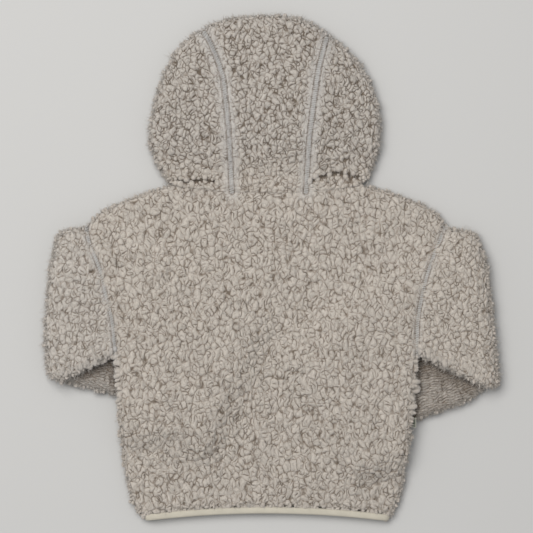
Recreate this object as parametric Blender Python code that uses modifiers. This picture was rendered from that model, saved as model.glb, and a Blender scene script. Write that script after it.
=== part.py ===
"""A small child's hooded jacket of high-pile sherpa cloth, zipped up and laid face down on a flat surface.

The back panel is on top. The two fronts and the zip lie under it, the hood lies flat above the neck with its face
opening underneath, and both sleeves are folded at the elbow and tucked in between the fronts and the surface.

Frame: +X to the wearer's right, +Y from hem to hood, +Z up from the surface. The origin is on the surface, under the
middle of the garment. Sizes are in millimetres up to the last step, which makes each mesh in metres.
"""
import math
from collections import namedtuple

import bmesh
import bpy
import numpy as np

MM = 0.001

# Driving sizes
CLOTH = 8.0                 # sherpa cloth, pile and backing together
HOOD_CLOTH = 10.5           # the hood's cloth, which nothing presses flat
FOREARM_CLOTH = 7.0         # the sleeve's cloth where the body lies on it
SEAM_GAP = 0.3              # between neighbouring pieces
EDGE_ROUND = 10.0           # how far in the pile rounds off at an outer edge
EDGE_MIN = 1.3              # a layer's thickness at an outer edge
SEAM_DIP = 2.2              # how deep a sewn seam pulls the pile in
SEAM_REACH = 7.0            # how far from the seam the pile has risen again
CENTRE_X = -6.5             # middle line of the body, and of the zip

Point = namedtuple("Point", "x y")
Section = namedtuple("Section", "y left right")
Fold = namedtuple("Fold", "x y angle length width height")

# Body outline, one row for each height above the hem: side seams, then armholes from the underarm up
BODY_SECTIONS = [
    Section(y=-274, left=-147, right=134),
    Section(y=-262, left=-156, right=141),
    Section(y=-235, left=-162, right=147),
    Section(y=-190, left=-169, right=153),
    Section(y=-142, left=-172, right=158),
    Section(y=-95, left=-175, right=162),
    Section(y=-60, left=-178, right=162),
    Section(y=-30, left=-185, right=167),
    Section(y=0, left=-192, right=175),
    Section(y=30, left=-204, right=187),
    Section(y=47, left=-208, right=194),
]
UNDERARM_Y = -95
SHOULDER_LEFT = [Point(-208, 47), Point(-200, 56), Point(-186, 66), Point(-161, 77.5), Point(-112, 94)]
SHOULDER_RIGHT = [Point(99, 94), Point(117, 90), Point(158, 76), Point(188, 60), Point(194, 47)]

# Hem and neck lines
HEM_END_Y = -283.3          # lowest point of the binding, at both ends
HEM_RISE = 8.8              # how much the hem arches up in the middle
HEM_HALF = 138.0
NECK_HALF = 105.5
NECK_END_Y = 94.0
BACK_NECK_DROP = 8.0
FRONT_NECK_DROP = 39.0

# Hood outline and its two long seams, each from the neck to the top
HOOD_LEFT = [Point(-112, 97), Point(-117, 113), Point(-129, 135), Point(-138, 168), Point(-121, 224),
             Point(-97, 256), Point(-77, 270)]
HOOD_TOP = [Point(-77, 270), Point(-43, 281), Point(4, 282.8), Point(34, 279), Point(61, 264)]
HOOD_RIGHT = [Point(99, 97), Point(108, 118), Point(119, 151), Point(120.5, 186), Point(107, 219),
              Point(87, 244), Point(61, 264)]
SEAM_LEFT = [Point(-45, 86), Point(-47, 128), Point(-49, 160), Point(-52, 190), Point(-56, 218), Point(-68, 250)]
SEAM_RIGHT = [Point(38, 86), Point(41, 137), Point(44, 166), Point(48, 196), Point(52, 222), Point(58, 247)]
FACE_LEFT = [Point(-17, 62), Point(-24, 88), Point(-36, 130), Point(-48, 175), Point(-51, 204)]
FACE_RIGHT = [Point(4, 62), Point(11, 88), Point(23, 130), Point(38, 172), Point(44, 200)]
FOREHEAD_ARCH = 6.0         # how much the face opening's upper edge arches
HOOD_CROWN = 5.0            # how far the hood's upper layer arches up
HOOD_LAYER_GAP = 1.2

# Sleeves: elbow fold from the shoulder side to the underarm side, and the cuff's middle
ELBOW_LEFT = [Point(-242, 39), Point(-251.5, -25), Point(-254.2, -80), Point(-250, -123)]
ELBOW_RIGHT = [Point(234, 36), Point(242, -8), Point(247.5, -60), Point(254.2, -131)]
CUFF_LEFT = Point(-73, -119)
CUFF_RIGHT = Point(84, -149)
CUFF_WIDTH = 95.0
BINDING = 8.0               # height of every knit binding
LIFT_START = 54.0           # the body starts to rise this far outside a tucked forearm
LIFT_END = 25.0             # and is at its full height from here on

# Soft ridges in the back panel, as the cloth has settled: middle, direction, size
BACK_FOLDS = [
    Fold(x=6, y=30, angle=92, length=230, width=26, height=2.6),
    Fold(x=30, y=-170, angle=105, length=170, width=24, height=2.2),
    Fold(x=-92, y=-150, angle=28, length=120, width=22, height=2.2),
    Fold(x=-70, y=-215, angle=84, length=110, width=20, height=1.8),
    Fold(x=-62, y=20, angle=100, length=130, width=24, height=1.6),
    Fold(x=92, y=-60, angle=70, length=150, width=26, height=1.8),
    Fold(x=78, y=-225, angle=50, length=90, width=20, height=2.0),
    Fold(x=-125, y=-20, angle=66, length=110, width=22, height=1.5),
]

FLEECE = (0.39, 0.35, 0.30)
BINDING_CREAM = (0.58, 0.52, 0.40)
LOOP_GREEN = (0.05, 0.06, 0.045)
TAPE_BEIGE = (0.42, 0.38, 0.31)
ZIP_METAL = (0.32, 0.31, 0.29)


# ---------------------------------------------------------------- curves

def along(rows, fractions):
    """Points at the given fractions of the length of a smooth curve through the rows."""
    knots = np.array([(row.x, row.y) for row in rows], float)
    before = np.vstack([2 * knots[0] - knots[1], knots[:-1]])
    after = np.vstack([knots[1:], 2 * knots[-1] - knots[-2]])
    slopes = (after - before) / 2
    t = np.linspace(0, 1, 24, endpoint=False)[:, None]
    spans = [
        (2 * t**3 - 3 * t**2 + 1) * knots[i] + (t**3 - 2 * t**2 + t) * slopes[i]
        + (3 * t**2 - 2 * t**3) * knots[i + 1] + (t**3 - t**2) * slopes[i + 1]
        for i in range(len(knots) - 1)
    ]
    dense = np.vstack(spans + [knots[-1:]])
    return at_fractions(dense, fractions)


def shares_of(line):
    """Each point's share of a polyline's length."""
    steps = np.linalg.norm(np.diff(line, axis=0), axis=1)
    return np.concatenate([[0], np.cumsum(steps)]) / steps.sum()


def at_fractions(line, fractions, values=None):
    """Points, or other values given for the points, at fractions of a polyline's length."""
    values = line if values is None else values
    return np.column_stack([np.interp(fractions, shares_of(line), column) for column in values.T])


def eased(value):
    """0 to 1 with level ends."""
    value = np.clip(value, 0, 1)
    return value * value * (3 - 2 * value)


def unit(vectors):
    return vectors / np.linalg.norm(vectors, axis=-1, keepdims=True)


def mixed(a, b, share):
    return a * (1 - share) + b * share


def distance(points, line):
    """Shortest distance from each point of a grid to a polyline."""
    flat = points.reshape(-1, 1, 2)
    run = np.diff(line, axis=0)
    kept = np.linalg.norm(run, axis=1) > 1e-6
    start, run = line[:-1][kept], run[kept]
    share = ((flat - start) * run).sum(2) / (run * run).sum(1)
    nearest = start + np.clip(share, 0, 1)[..., None] * run
    return np.linalg.norm(flat - nearest, axis=2).min(1).reshape(points.shape[:-1])


def hem_y(x):
    return HEM_END_Y + HEM_RISE * (1 - ((x - CENTRE_X) / HEM_HALF) ** 2)


def back_neck_y(x):
    return NECK_END_Y - BACK_NECK_DROP * (1 - ((x - CENTRE_X) / NECK_HALF) ** 2)


def front_neck_y(x):
    reach = np.clip(1 - np.abs(x - CENTRE_X) / NECK_HALF, 0, 1)
    return NECK_END_Y - FRONT_NECK_DROP * reach ** 0.8


# ---------------------------------------------------------------- tucked forearms

def cuff_ends(elbow, cuff):
    """The cuff's two ends, square to the forearm, upper one first."""
    middle = along(elbow, [0.5])[0]
    direction = unit(np.array([cuff.x, cuff.y]) - middle)
    across = np.array([-direction[1], direction[0]]) * np.sign(direction[0])
    centre = np.array([cuff.x, cuff.y])
    return centre + across * CUFF_WIDTH / 2, centre - across * CUFF_WIDTH / 2, direction


def footprint(elbow, cuff):
    """Corners of a forearm seen from above, counter-clockwise, running on past the elbow fold."""
    top, bottom, direction = cuff_ends(elbow, cuff)
    outward = np.array([-np.sign(direction[0]) * 60.0, 0.0])
    fold_top = np.array([elbow[0].x, elbow[0].y]) + outward
    fold_bottom = np.array([elbow[-1].x, elbow[-1].y]) + outward
    corners = np.array([fold_top, fold_bottom, bottom, top])
    return corners if direction[0] > 0 else corners[::-1]


def inside_depth(points, corners):
    """How far a point lies inside a convex outline; negative outside."""
    depth = np.full(points.shape[:-1], np.inf)
    for start, end in zip(corners, np.roll(corners, -1, axis=0)):
        inward = unit(np.array([start[1] - end[1], end[0] - start[0]]))
        depth = np.minimum(depth, (points - start) @ inward)
    return depth


def lift(points):
    """Height of the fronts' lower face above the surface: the forearms' thickness over them, sloping down to 0."""
    depth = np.maximum(inside_depth(points, footprint(ELBOW_LEFT, CUFF_LEFT)),
                       inside_depth(points, footprint(ELBOW_RIGHT, CUFF_RIGHT)))
    plateau = 2 * FOREARM_CLOTH + 2 * SEAM_GAP
    return plateau * eased((depth + LIFT_START) / (LIFT_START - LIFT_END))


# ---------------------------------------------------------------- solids

def make_object(name, vertices, faces, color, roughness=0.9, metallic=0.0):
    """A named object of one closed mesh, from millimetres."""
    mesh = bpy.data.meshes.new(name)
    shape = bmesh.new()
    corners = [shape.verts.new([c * MM for c in vertex]) for vertex in vertices]
    for face in faces:
        shape.faces.new([corners[k] for k in face])
    bmesh.ops.remove_doubles(shape, verts=shape.verts, dist=0.02 * MM)
    bmesh.ops.recalc_face_normals(shape, faces=shape.faces)
    shape.to_mesh(mesh)
    shape.free()
    mesh.shade_smooth()
    return finish_object(name, mesh, color, roughness, metallic)


def finish_object(name, mesh, color, roughness, metallic):
    material = bpy.data.materials.new(name)
    material.use_nodes = True
    shader = material.node_tree.nodes["Principled BSDF"]
    shader.inputs["Base Color"].default_value = (*color, 1)
    shader.inputs["Roughness"].default_value = roughness
    shader.inputs["Metallic"].default_value = metallic
    mesh.materials.clear()
    mesh.materials.append(material)
    piece = bpy.data.objects.new(name, mesh)
    JACKET.objects.link(piece)
    return piece


def sheet_solid(name, outer, inner, color=FLEECE):
    """A wall between two matching grids of points, closed along its four edges.

    Each cell is split the same way, so that two walls on one plan can lie on each other."""
    rows, columns = outer.shape[:2]
    index = np.arange(rows * columns).reshape(rows, columns)
    faces = []
    for i in range(rows - 1):
        for j in range(columns - 1):
            a, b, c, d = index[i, j], index[i, j + 1], index[i + 1, j + 1], index[i + 1, j]
            for face in ((a, b, c), (a, c, d)):
                faces.append(face)
                faces.append(tuple(k + rows * columns for k in reversed(face)))
    border = np.concatenate([index[0, :], index[1:, -1], index[-1, -2::-1], index[-2:0:-1, 0]])
    for a, b in zip(border, np.roll(border, -1)):
        faces.append((b, a, a + rows * columns, b + rows * columns))
    points = np.vstack([outer.reshape(-1, 3), inner.reshape(-1, 3)])
    return make_object(name, points, faces, color)


def ring_solid(name, rings, color, closed=False):
    """A solid strip through rings of points, closed on itself or capped at both ends."""
    count, around = rings.shape[:2]
    faces = []
    for i in range(count if closed else count - 1):
        a, b = i * around, ((i + 1) % count) * around
        for j in range(around):
            k = (j + 1) % around
            faces.append((a + j, a + k, b + k, b + j))
    if not closed:
        faces.append(tuple(range(around - 1, -1, -1)))
        faces.append(tuple((count - 1) * around + j for j in range(around)))
    return make_object(name, rings.reshape(-1, 3), faces, color)


def binding_strip(name, path, across, half_height, half_thickness, color=BINDING_CREAM, closed=False):
    """A soft-edged band along a path: its height runs along `across`, its thickness square to both."""
    tangent = np.gradient(path, axis=0)
    if closed:
        tangent = np.roll(path, -1, axis=0) - np.roll(path, 1, axis=0)
    normal = unit(np.cross(unit(tangent), across))
    profile = [(1.0, 0.45), (0.7, 1.0), (-0.7, 1.0), (-1.0, 0.45), (-1.0, -0.45), (-0.7, -1.0), (0.7, -1.0),
               (1.0, -0.45)]
    rings = np.stack([path + across * half_height * h + normal * half_thickness * t for h, t in profile], axis=1)
    return ring_solid(name, rings, color, closed)


def with_height(plan, height):
    return np.concatenate([plan, np.broadcast_to(height, plan.shape[:-1])[..., None]], axis=-1)


# ---------------------------------------------------------------- body

# Both layers of the body share one plan of columns and rows, so that they lie on each other everywhere
SIDE_COLUMNS = np.array([0, 0.016, 0.038, 0.065, 0.11, 0.22, 0.35, 0.48, 0.61, 0.74, 0.87, 0.955, 1])
UNDERARM_ROW = 0.5583
LOWER_ROWS = np.concatenate([[0, 0.018], np.linspace(0.05, UNDERARM_ROW, 10), np.linspace(UNDERARM_ROW, 1, 9)[1:]])
UPPER_ROWS = np.array([0.4, 0.68, 0.86, 0.95, 1])
ZIP_OPENING = 8.3           # from the middle line to a front's edge


def edge_x(side, y):
    """The body's edge at a height: a smooth line through the sections."""
    line = along([Point(getattr(row, side), row.y) for row in BODY_SECTIONS], np.linspace(0, 1, 200))
    return np.interp(y, line[:, 1], line[:, 0])


def top_y(x, neck_y):
    """The body's upper edge: a shoulder, the neck line, the other shoulder."""
    fine = np.linspace(0, 1, 60)
    left, right = along(SHOULDER_LEFT, fine), along(SHOULDER_RIGHT, fine)
    shoulder = np.where(x < CENTRE_X, np.interp(x, left[:, 0], left[:, 1]), np.interp(x, right[:, 0], right[:, 1]))
    return np.where(np.abs(x - CENTRE_X) > NECK_HALF, shoulder, neck_y(x) - SEAM_GAP / 2)


def half_plan(side, sign, neck_y):
    """Plan points of one half of the body, rows from the hem up, columns from the side seam to the zip."""
    tip_y = BODY_SECTIONS[-1].y
    centre = CENTRE_X + sign * ZIP_OPENING
    neck_column = 5
    hem_x = mixed(edge_x(side, BODY_SECTIONS[0].y), centre, SIDE_COLUMNS)
    hem = hem_y(hem_x) + BINDING + SEAM_GAP
    rows = []
    for share in LOWER_ROWS:
        y = mixed(hem, tip_y, share)
        x = mixed(edge_x(side, y[0]) - sign * SEAM_GAP / 2, centre, SIDE_COLUMNS)
        rows.append(np.column_stack([x, y]))
    shoulder_end = CENTRE_X + sign * NECK_HALF
    top_x = rows[-1][:, 0].copy()
    shoulder = SIDE_COLUMNS[:neck_column + 2] / SIDE_COLUMNS[neck_column + 1]
    top_x[:neck_column + 2] = mixed(top_x[0], shoulder_end, shoulder ** 0.8)
    top_x[neck_column + 1:] = np.linspace(shoulder_end, centre, len(top_x) - neck_column - 1)
    top = np.column_stack([top_x, top_y(top_x, neck_y)])
    top[0] = rows[-1][0]
    base = rows[-1]
    rows += [mixed(base, top, share) for share in UPPER_ROWS]
    return np.array(rows)


def body_lines(neck_y):
    """The body's outer edges, and its sewn seams, as polylines."""
    even = np.linspace(0, 1, 50)
    edges, seams = [along(SHOULDER_LEFT, even), along(SHOULDER_RIGHT, even)], []
    for side in ("left", "right"):
        for low, high, group in ((BODY_SECTIONS[0].y, UNDERARM_Y, edges), (UNDERARM_Y, BODY_SECTIONS[-1].y, seams)):
            y = mixed(low, high, even)
            group.append(np.column_stack([edge_x(side, y), y]))
    x = mixed(CENTRE_X - NECK_HALF, CENTRE_X + NECK_HALF, even)
    seams.append(np.column_stack([x, neck_y(x)]))
    hem_x = mixed(BODY_SECTIONS[0].left, BODY_SECTIONS[0].right, even)
    seams.append(np.column_stack([hem_x, hem_y(hem_x) + BINDING]))
    return edges, seams


def rounded(points, edges, seams):
    """Share of the full thickness: round towards outer edges, and dipped along seams."""
    share = np.ones(points.shape[:-1])
    for line in edges:
        inward = np.clip(distance(points, line) / EDGE_ROUND, 0, 1)
        share = np.minimum(share, np.sqrt(1 - (1 - inward) ** 2))
    for line in seams:
        near = 1 - eased(distance(points, line) / SEAM_REACH)
        share = np.minimum(share, 1 - near * SEAM_DIP / CLOTH)
    return np.maximum(share, EDGE_MIN / CLOTH)


def ridges(points, folds):
    """Height of the soft ridges: each is a bell across its width that fades towards its ends."""
    height = np.zeros(points.shape[:-1])
    for fold in folds:
        angle = math.radians(fold.angle)
        offset = points - np.array([fold.x, fold.y])
        run = offset @ np.array([math.cos(angle), math.sin(angle)])
        side = offset @ np.array([-math.sin(angle), math.cos(angle)])
        fade = eased(1.5 - np.abs(run) / (fold.length / 2) * 1.2)
        height += fold.height * fade * np.exp(-(side / fold.width) ** 2)
    return height


def build_back():
    """Back panel: from the hem binding to the shoulders, over the fronts."""
    left, right = half_plan("left", -1, back_neck_y), half_plan("right", 1, back_neck_y)
    plan = np.concatenate([left, right[:, ::-1]], axis=1)
    edges, seams = body_lines(back_neck_y)
    share = rounded(plan, edges, seams)
    base = lift(plan) + CLOTH + SEAM_GAP
    from_edge = np.min([distance(plan, line) for line in edges + seams], axis=0)
    swell = ridges(plan, BACK_FOLDS) * eased(from_edge / 30)
    sheet_solid("back_panel", with_height(plan, base + CLOTH * share + swell), with_height(plan, base))


def build_front(name, side, sign):
    """A front: flat on the surface, or on the tucked forearm where that lies under it."""
    plan = half_plan(side, sign, front_neck_y)
    zip_edge = plan[:, -1]
    plan = plan if sign < 0 else plan[:, ::-1]
    edges, seams = body_lines(front_neck_y)
    share = rounded(plan, edges, seams + [zip_edge])
    high = lift(plan) + CLOTH
    sheet_solid(name, with_height(plan, high - CLOTH * share), with_height(plan, high))


# ---------------------------------------------------------------- hood

def hood_cloth(y):
    """Cloth thickness and layer gap at a height: as thin as the body's by the neck, thicker further up."""
    rise = eased((np.asarray(y) - NECK_END_Y - 4) / 45)
    return mixed(CLOTH, HOOD_CLOTH, rise), mixed(SEAM_GAP, HOOD_LAYER_GAP, rise)


def folded_rib(upper_run, under_run, outward, crown):
    """One rib of a piece that folds under: along upper_run on top, round the fold, and back along under_run below.

    Returns the points of the rib's outer and inner face. Both runs meet at the fold's centre."""
    fold_centre = upper_run[-1]
    thick, gap = hood_cloth(fold_centre[1])
    radius = (thick + gap) / 2
    angle = np.linspace(0, math.pi, TURN_STEPS + 2)[1:-1]
    turn = fold_centre + outward * radius * np.sin(angle)[:, None]
    turn = with_height(turn, thick / 2 + radius + radius * np.cos(angle))
    turn_half = thick / 2 * np.column_stack([outward * np.sin(angle)[:, None], np.cos(angle)])
    upper_thick, upper_gap = hood_cloth(upper_run[:, 1])
    arch = crown * HOOD_CROWN * eased((upper_run[:, 1] - NECK_END_Y) / 70)
    top = upper_thick * 2 + upper_gap + arch
    under = upper_thick + upper_gap + arch * 0.4
    under_thick, _ = hood_cloth(under_run[:, 1])
    outer = np.vstack([with_height(upper_run, top), turn + turn_half, with_height(under_run, 0.0)])
    inner = np.vstack([with_height(upper_run, under), turn - turn_half, with_height(under_run, under_thick)])
    return outer, inner


SIDE_RIBS = 10
RUN_STEPS = 6
UNDER_STEPS = 7
TURN_STEPS = 5


def hood_folds(outline, seam):
    """Fold centres and outward directions of a hood side's ribs, and its seam up to the last fold centre."""
    share = np.linspace(0, 1, SIDE_RIBS)
    seam_points, outline_points = along(seam, share), along(outline, share)
    outward = unit(outline_points - seam_points)
    outward = unit(mixed(outward, outward[-1], share[:, None] ** 3))
    thick, gap = hood_cloth(outline_points[:, 1])
    folds = outline_points - outward * (thick + gap / 2)[:, None]
    seam_points = seam_points + (folds[-1] - seam_points[-1]) * share[:, None] ** 4
    return folds, outward, seam_points


def build_hood_side(name, outline, seam, face, sign):
    """A side panel: from its seam over the hood's outline and under to the face opening."""
    folds, outward, seam_points = hood_folds(outline, seam)
    share = np.linspace(0, 1, SIDE_RIBS)
    face_line = along(face, share) + [sign * (BINDING + SEAM_GAP), 0]
    aside = np.array([sign * SEAM_GAP / 2, 0])
    run = np.linspace(0, 1, RUN_STEPS)[:, None]
    under = np.linspace(0, 1, UNDER_STEPS)[:, None]
    ribs = []
    for i in range(SIDE_RIBS):
        near_neck = (1 - share[i]) ** 3
        fold = folds[i] + aside * share[i] ** 2
        upper_run = mixed(seam_points[i] + aside, fold, run)
        neck = back_neck_y(upper_run[:, 0]) + SEAM_GAP / 2
        upper_run[:, 1] += near_neck * (neck - upper_run[:, 1])
        under_run = mixed(upper_run[-1], face_line[i] + aside * share[i] ** 2, under)
        front = front_neck_y(under_run[:, 0]) + SEAM_GAP / 2
        under_run[:, 1] += near_neck * (front - under_run[:, 1]) * under[:, 0] ** 0.5
        ribs.append(folded_rib(upper_run, under_run, outward[i], 1 - run[:, 0] ** 2))
    sheet_solid(name, np.array([outer for outer, _ in ribs]), np.array([inner for _, inner in ribs]))


def build_hood_centre():
    """Middle panel: from the neck up between the two seams, over the top and under to the forehead."""
    left_folds, left_outward, left_seam = hood_folds(HOOD_LEFT, SEAM_LEFT)
    right_folds, right_outward, right_seam = hood_folds(HOOD_RIGHT, SEAM_RIGHT)
    rib_shares = np.linspace(0, 1, 9)
    aside = np.array([SEAM_GAP / 2, 0])
    run = np.linspace(0, 1, SIDE_RIBS)[:, None]
    left_fold, right_fold = left_folds[-1] + aside, right_folds[-1] - aside
    forehead_left = along(FACE_LEFT, [1.0])[0] + [-(BINDING + SEAM_GAP), 0] + aside
    forehead_right = along(FACE_RIGHT, [1.0])[0] + [BINDING + SEAM_GAP, 0] - aside
    ribs = []
    for u, top_point in zip(rib_shares, along(HOOD_TOP, rib_shares)):
        bow = 4 * u * (1 - u)
        outward = unit(mixed(mixed(left_outward[-1], right_outward[-1], u), np.array([0, 1.0]), bow))
        straight_fold = mixed(left_fold, right_fold, u)
        thick, gap = hood_cloth(top_point[1])
        fold = straight_fold if u in (0, 1) else top_point - outward * (thick + gap / 2)
        upper_run = mixed(left_seam + aside, right_seam - aside, u) + (fold - straight_fold) * run ** 2
        neck = back_neck_y(upper_run[:, 0]) + SEAM_GAP / 2
        upper_run[:, 1] += (1 - run[:, 0]) ** 3 * (neck - upper_run[:, 1])
        forehead = mixed(forehead_left, forehead_right, u) + [0, FOREHEAD_ARCH * bow]
        under_run = mixed(fold, forehead, np.linspace(0, 1, UNDER_STEPS)[:, None])
        ribs.append(folded_rib(upper_run, under_run, outward, 1 - run[:, 0] ** 6))
    sheet_solid("hood_centre", np.array([outer for outer, _ in ribs]), np.array([inner for _, inner in ribs]))


# ---------------------------------------------------------------- sleeves

ELBOW_TOP_TILT = -0.45      # the fold rounds downwards at its shoulder end
FOREARM_BOW = {"left": 2.0, "right": 7.0}   # how far each forearm's underarm edge bows out
BOW_EARLY = 0.4             # power that puts the bow's middle near the elbow
ARMHOLE_ROWS = 9            # the body's rows from the shoulder down to the underarm, which the sleeve follows
SLIT_HALF = 0.4             # half the space between a sleeve's two layers


def build_sleeve(name, side, elbow, cuff, sign):
    """A flattened tube: from the armhole to the elbow fold, round it, and back under the body to the cuff."""
    hem_corner = hem_y(edge_x(side, BODY_SECTIONS[0].y)) + BINDING + SEAM_GAP
    armhole_y = mixed(hem_corner, BODY_SECTIONS[-1].y, LOWER_ROWS[:-ARMHOLE_ROWS - 1:-1])
    armhole = np.column_stack([edge_x(side, armhole_y) + sign * SEAM_GAP / 2, armhole_y])
    upper_end, lower_end, direction = cuff_ends(elbow, cuff)
    upper_half = CLOTH + SEAM_GAP / 2 - 0.05
    across_share = shares_of(armhole)
    upper_steps = np.linspace(0, 1, 5)
    turn_angles = np.linspace(0, math.pi, 7)[1:-1]
    lower_steps = np.linspace(0, 1, 9)
    stations = []
    half_sizes = ([upper_half] * 3 + [7.8, 7.5]) + [7.3] * len(turn_angles) + [FOREARM_CLOTH] * len(lower_steps)
    for share in across_share:
        start = at_fractions(armhole, [share])[0]
        outer = along(elbow, [share])[0]
        outward = unit(np.array([sign, mixed(ELBOW_TOP_TILT, 0.1, eased(share / 0.3))]))
        fold = outer - outward * (8.0 + 7.3)
        end = mixed(upper_end, lower_end, share) - direction * (BINDING + SEAM_GAP)
        upper = mixed(start, fold, upper_steps[:, None])
        high = lift(upper) + CLOTH + SEAM_GAP / 2
        top_height = high[-1]
        radius = (top_height - FOREARM_CLOTH) / 2
        turn = fold + outward * radius * np.sin(turn_angles)[:, None]
        lower = mixed(fold, end, lower_steps[:, None])
        bow = 4 * lower_steps ** BOW_EARLY * (1 - lower_steps ** BOW_EARLY)
        lower[:, 1] -= FOREARM_BOW[side] * share ** 2 * bow
        middle = np.vstack([
            with_height(upper, high),
            with_height(turn, FOREARM_CLOTH + radius + radius * np.cos(turn_angles)),
            with_height(lower, FOREARM_CLOTH),
        ])
        normal = np.vstack([
            np.tile([0, 0, 1.0], (len(upper), 1)),
            np.column_stack([outward * np.sin(turn_angles)[:, None], np.cos(turn_angles)]),
            np.tile([0, 0, -1.0], (len(lower), 1)),
        ])
        stations.append((middle, normal))
    middles = np.array([middle for middle, _ in stations])
    normals = np.array([normal for _, normal in stations])
    outer_rings, slit_rings = [], []
    for k in range(middles.shape[1]):
        line, normal, half = middles[:, k], normals[:, k], half_sizes[k]
        width = np.linalg.norm(np.diff(line, axis=0), axis=1).sum()
        inset = half / width
        spots = np.concatenate([[inset], across_share[1:-1], [1 - inset]])
        line, normal = at_fractions(line, spots), unit(at_fractions(line, spots, normal))
        ends = unit(np.array([line[0] - line[1], line[-1] - line[-2]]))
        arc = np.radians([50, 0, -50])[:, None]
        far = line[-1] + half * (np.cos(arc) * ends[1] + np.sin(arc) * normal[-1])
        near = line[0] + half * (np.cos(arc) * ends[0] - np.sin(arc) * normal[0])
        outer_rings.append(np.vstack([line + normal * half, far, (line - normal * half)[::-1], near]))
        slit_rings.append(np.vstack([line + normal * SLIT_HALF, (line - normal * SLIT_HALF)[::-1]]))
    tube_solid(name, np.array(outer_rings), np.array(slit_rings))


def tube_solid(name, outer, slit):
    """A flattened tube: an outer skin, an inner skin round the slit, and a rim at each end."""
    count, around = outer.shape[:2]
    inner_around = slit.shape[1]
    base = count * around
    faces = []
    for i in range(count - 1):
        for j in range(around):
            k = (j + 1) % around
            faces.append((i * around + j, i * around + k, (i + 1) * around + k, (i + 1) * around + j))
        for j in range(inner_around):
            k = (j + 1) % inner_around
            faces.append((base + i * inner_around + k, base + i * inner_around + j,
                          base + (i + 1) * inner_around + j, base + (i + 1) * inner_around + k))
    half = inner_around // 2
    for end in (0, count - 1):
        skin, hollow = end * around, base + end * inner_around
        rims = []
        for j in range(half - 1):
            rims.append((skin + j, skin + j + 1, hollow + j + 1, hollow + j))
            low, low_slit = skin + half + 3 + j, hollow + half + j
            rims.append((low, low + 1, low_slit + 1, low_slit))
        far = [skin + half - 1 + n for n in range(5)]
        rims.append(tuple(far + [hollow + half, hollow + half - 1]))
        near = [skin + 2 * half + 2 + n for n in range(4)] + [skin]
        rims.append(tuple(near + [hollow, hollow + 2 * half - 1]))
        faces += rims if end else [tuple(reversed(face)) for face in rims]
    return make_object(name, np.vstack([outer.reshape(-1, 3), slit.reshape(-1, 3)]), faces, FLEECE)


# ---------------------------------------------------------------- bindings and loop

BACK_STRIP_Z = CLOTH + SEAM_GAP + 3.9
FRONT_STRIP_Z = 3.9
STRIP_HALF = 3.7


def build_hem_binding():
    """The hem's band: from the zip out along one front, round the side and along the back, and back to the zip."""
    radius = (BACK_STRIP_Z - FRONT_STRIP_Z) / 2
    left_end = BODY_SECTIONS[0].left + 3.5 + radius + STRIP_HALF
    right_end = BODY_SECTIONS[0].right - 1.5 - radius - STRIP_HALF
    left_zip, right_zip = CENTRE_X - ZIP_OPENING + 0.3, CENTRE_X + ZIP_OPENING - 0.3
    angle = np.linspace(0, math.pi, 6)[1:-1]
    front_left = np.linspace(left_zip, left_end, 7)
    left_turn = left_end - radius * np.sin(angle)
    back = np.linspace(left_end, right_end, 14)
    right_turn = right_end + radius * np.sin(angle)
    front_right = np.linspace(right_end, right_zip, 7)
    x = np.concatenate([front_left, left_turn, back, right_turn, front_right])
    middle = (BACK_STRIP_Z + FRONT_STRIP_Z) / 2
    z = np.concatenate([
        np.full(7, FRONT_STRIP_Z), middle - radius * np.cos(angle), np.full(14, BACK_STRIP_Z),
        middle + radius * np.cos(angle), np.full(7, FRONT_STRIP_Z),
    ])
    path = np.column_stack([x, hem_y(x) + BINDING / 2, z])
    across = np.tile([0.0, 1.0, 0.0], (len(path), 1))
    binding_strip("hem_binding", path, across, BINDING / 2, STRIP_HALF)


def build_cuff_binding(name, elbow, cuff):
    """The cuff's band: a flat ring round the end of the sleeve."""
    upper_end, lower_end, direction = cuff_ends(elbow, cuff)
    across = unit(lower_end - upper_end)
    half_thick, radius = 3.2, 3.6
    straight = CUFF_WIDTH / 2 - radius - half_thick
    angle = np.linspace(-math.pi / 2, math.pi / 2, 5)
    offset = np.linspace(-straight, straight, 6)[1:-1]
    along_cuff = np.concatenate([straight + radius * np.cos(angle), offset[::-1], -straight - radius * np.cos(angle),
                                 offset])
    height = FOREARM_CLOTH + np.concatenate([radius * np.sin(angle), np.full(4, radius), -radius * np.sin(angle),
                                             np.full(4, -radius)])
    centre = np.array([cuff.x, cuff.y]) - direction * BINDING / 2
    path = with_height(centre + across * along_cuff[:, None], 0)
    path[:, 2] = height
    band = np.tile([direction[0], direction[1], 0.0], (len(path), 1))
    binding_strip(name, path, band, BINDING / 2, half_thick, closed=True)


def build_hood_binding():
    """The band round the face opening, from the zip up one side, across the forehead and down the other side."""
    half = BINDING / 2
    left = along(FACE_LEFT, np.linspace(0, 0.94, 10)) - [half, 0]
    right = along(FACE_RIGHT, np.linspace(0.94, 0, 10)) + [half, 0]
    forehead_left, forehead_right = FACE_LEFT[-1], FACE_RIGHT[-1]
    share = np.linspace(0.12, 0.88, 6)
    x = mixed(forehead_left.x, forehead_right.x, share)
    y = mixed(forehead_left.y, forehead_right.y, share) + FOREHEAD_ARCH * 4 * share * (1 - share) - half - SEAM_GAP
    path = np.vstack([left, np.column_stack([x, y]), right])
    tangent = unit(np.gradient(path, axis=0))
    across = np.column_stack([-tangent[:, 1], tangent[:, 0], np.zeros(len(path))])
    binding_strip("hood_binding", with_height(path, 4.3), across, half - 0.2, 4.0)


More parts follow.
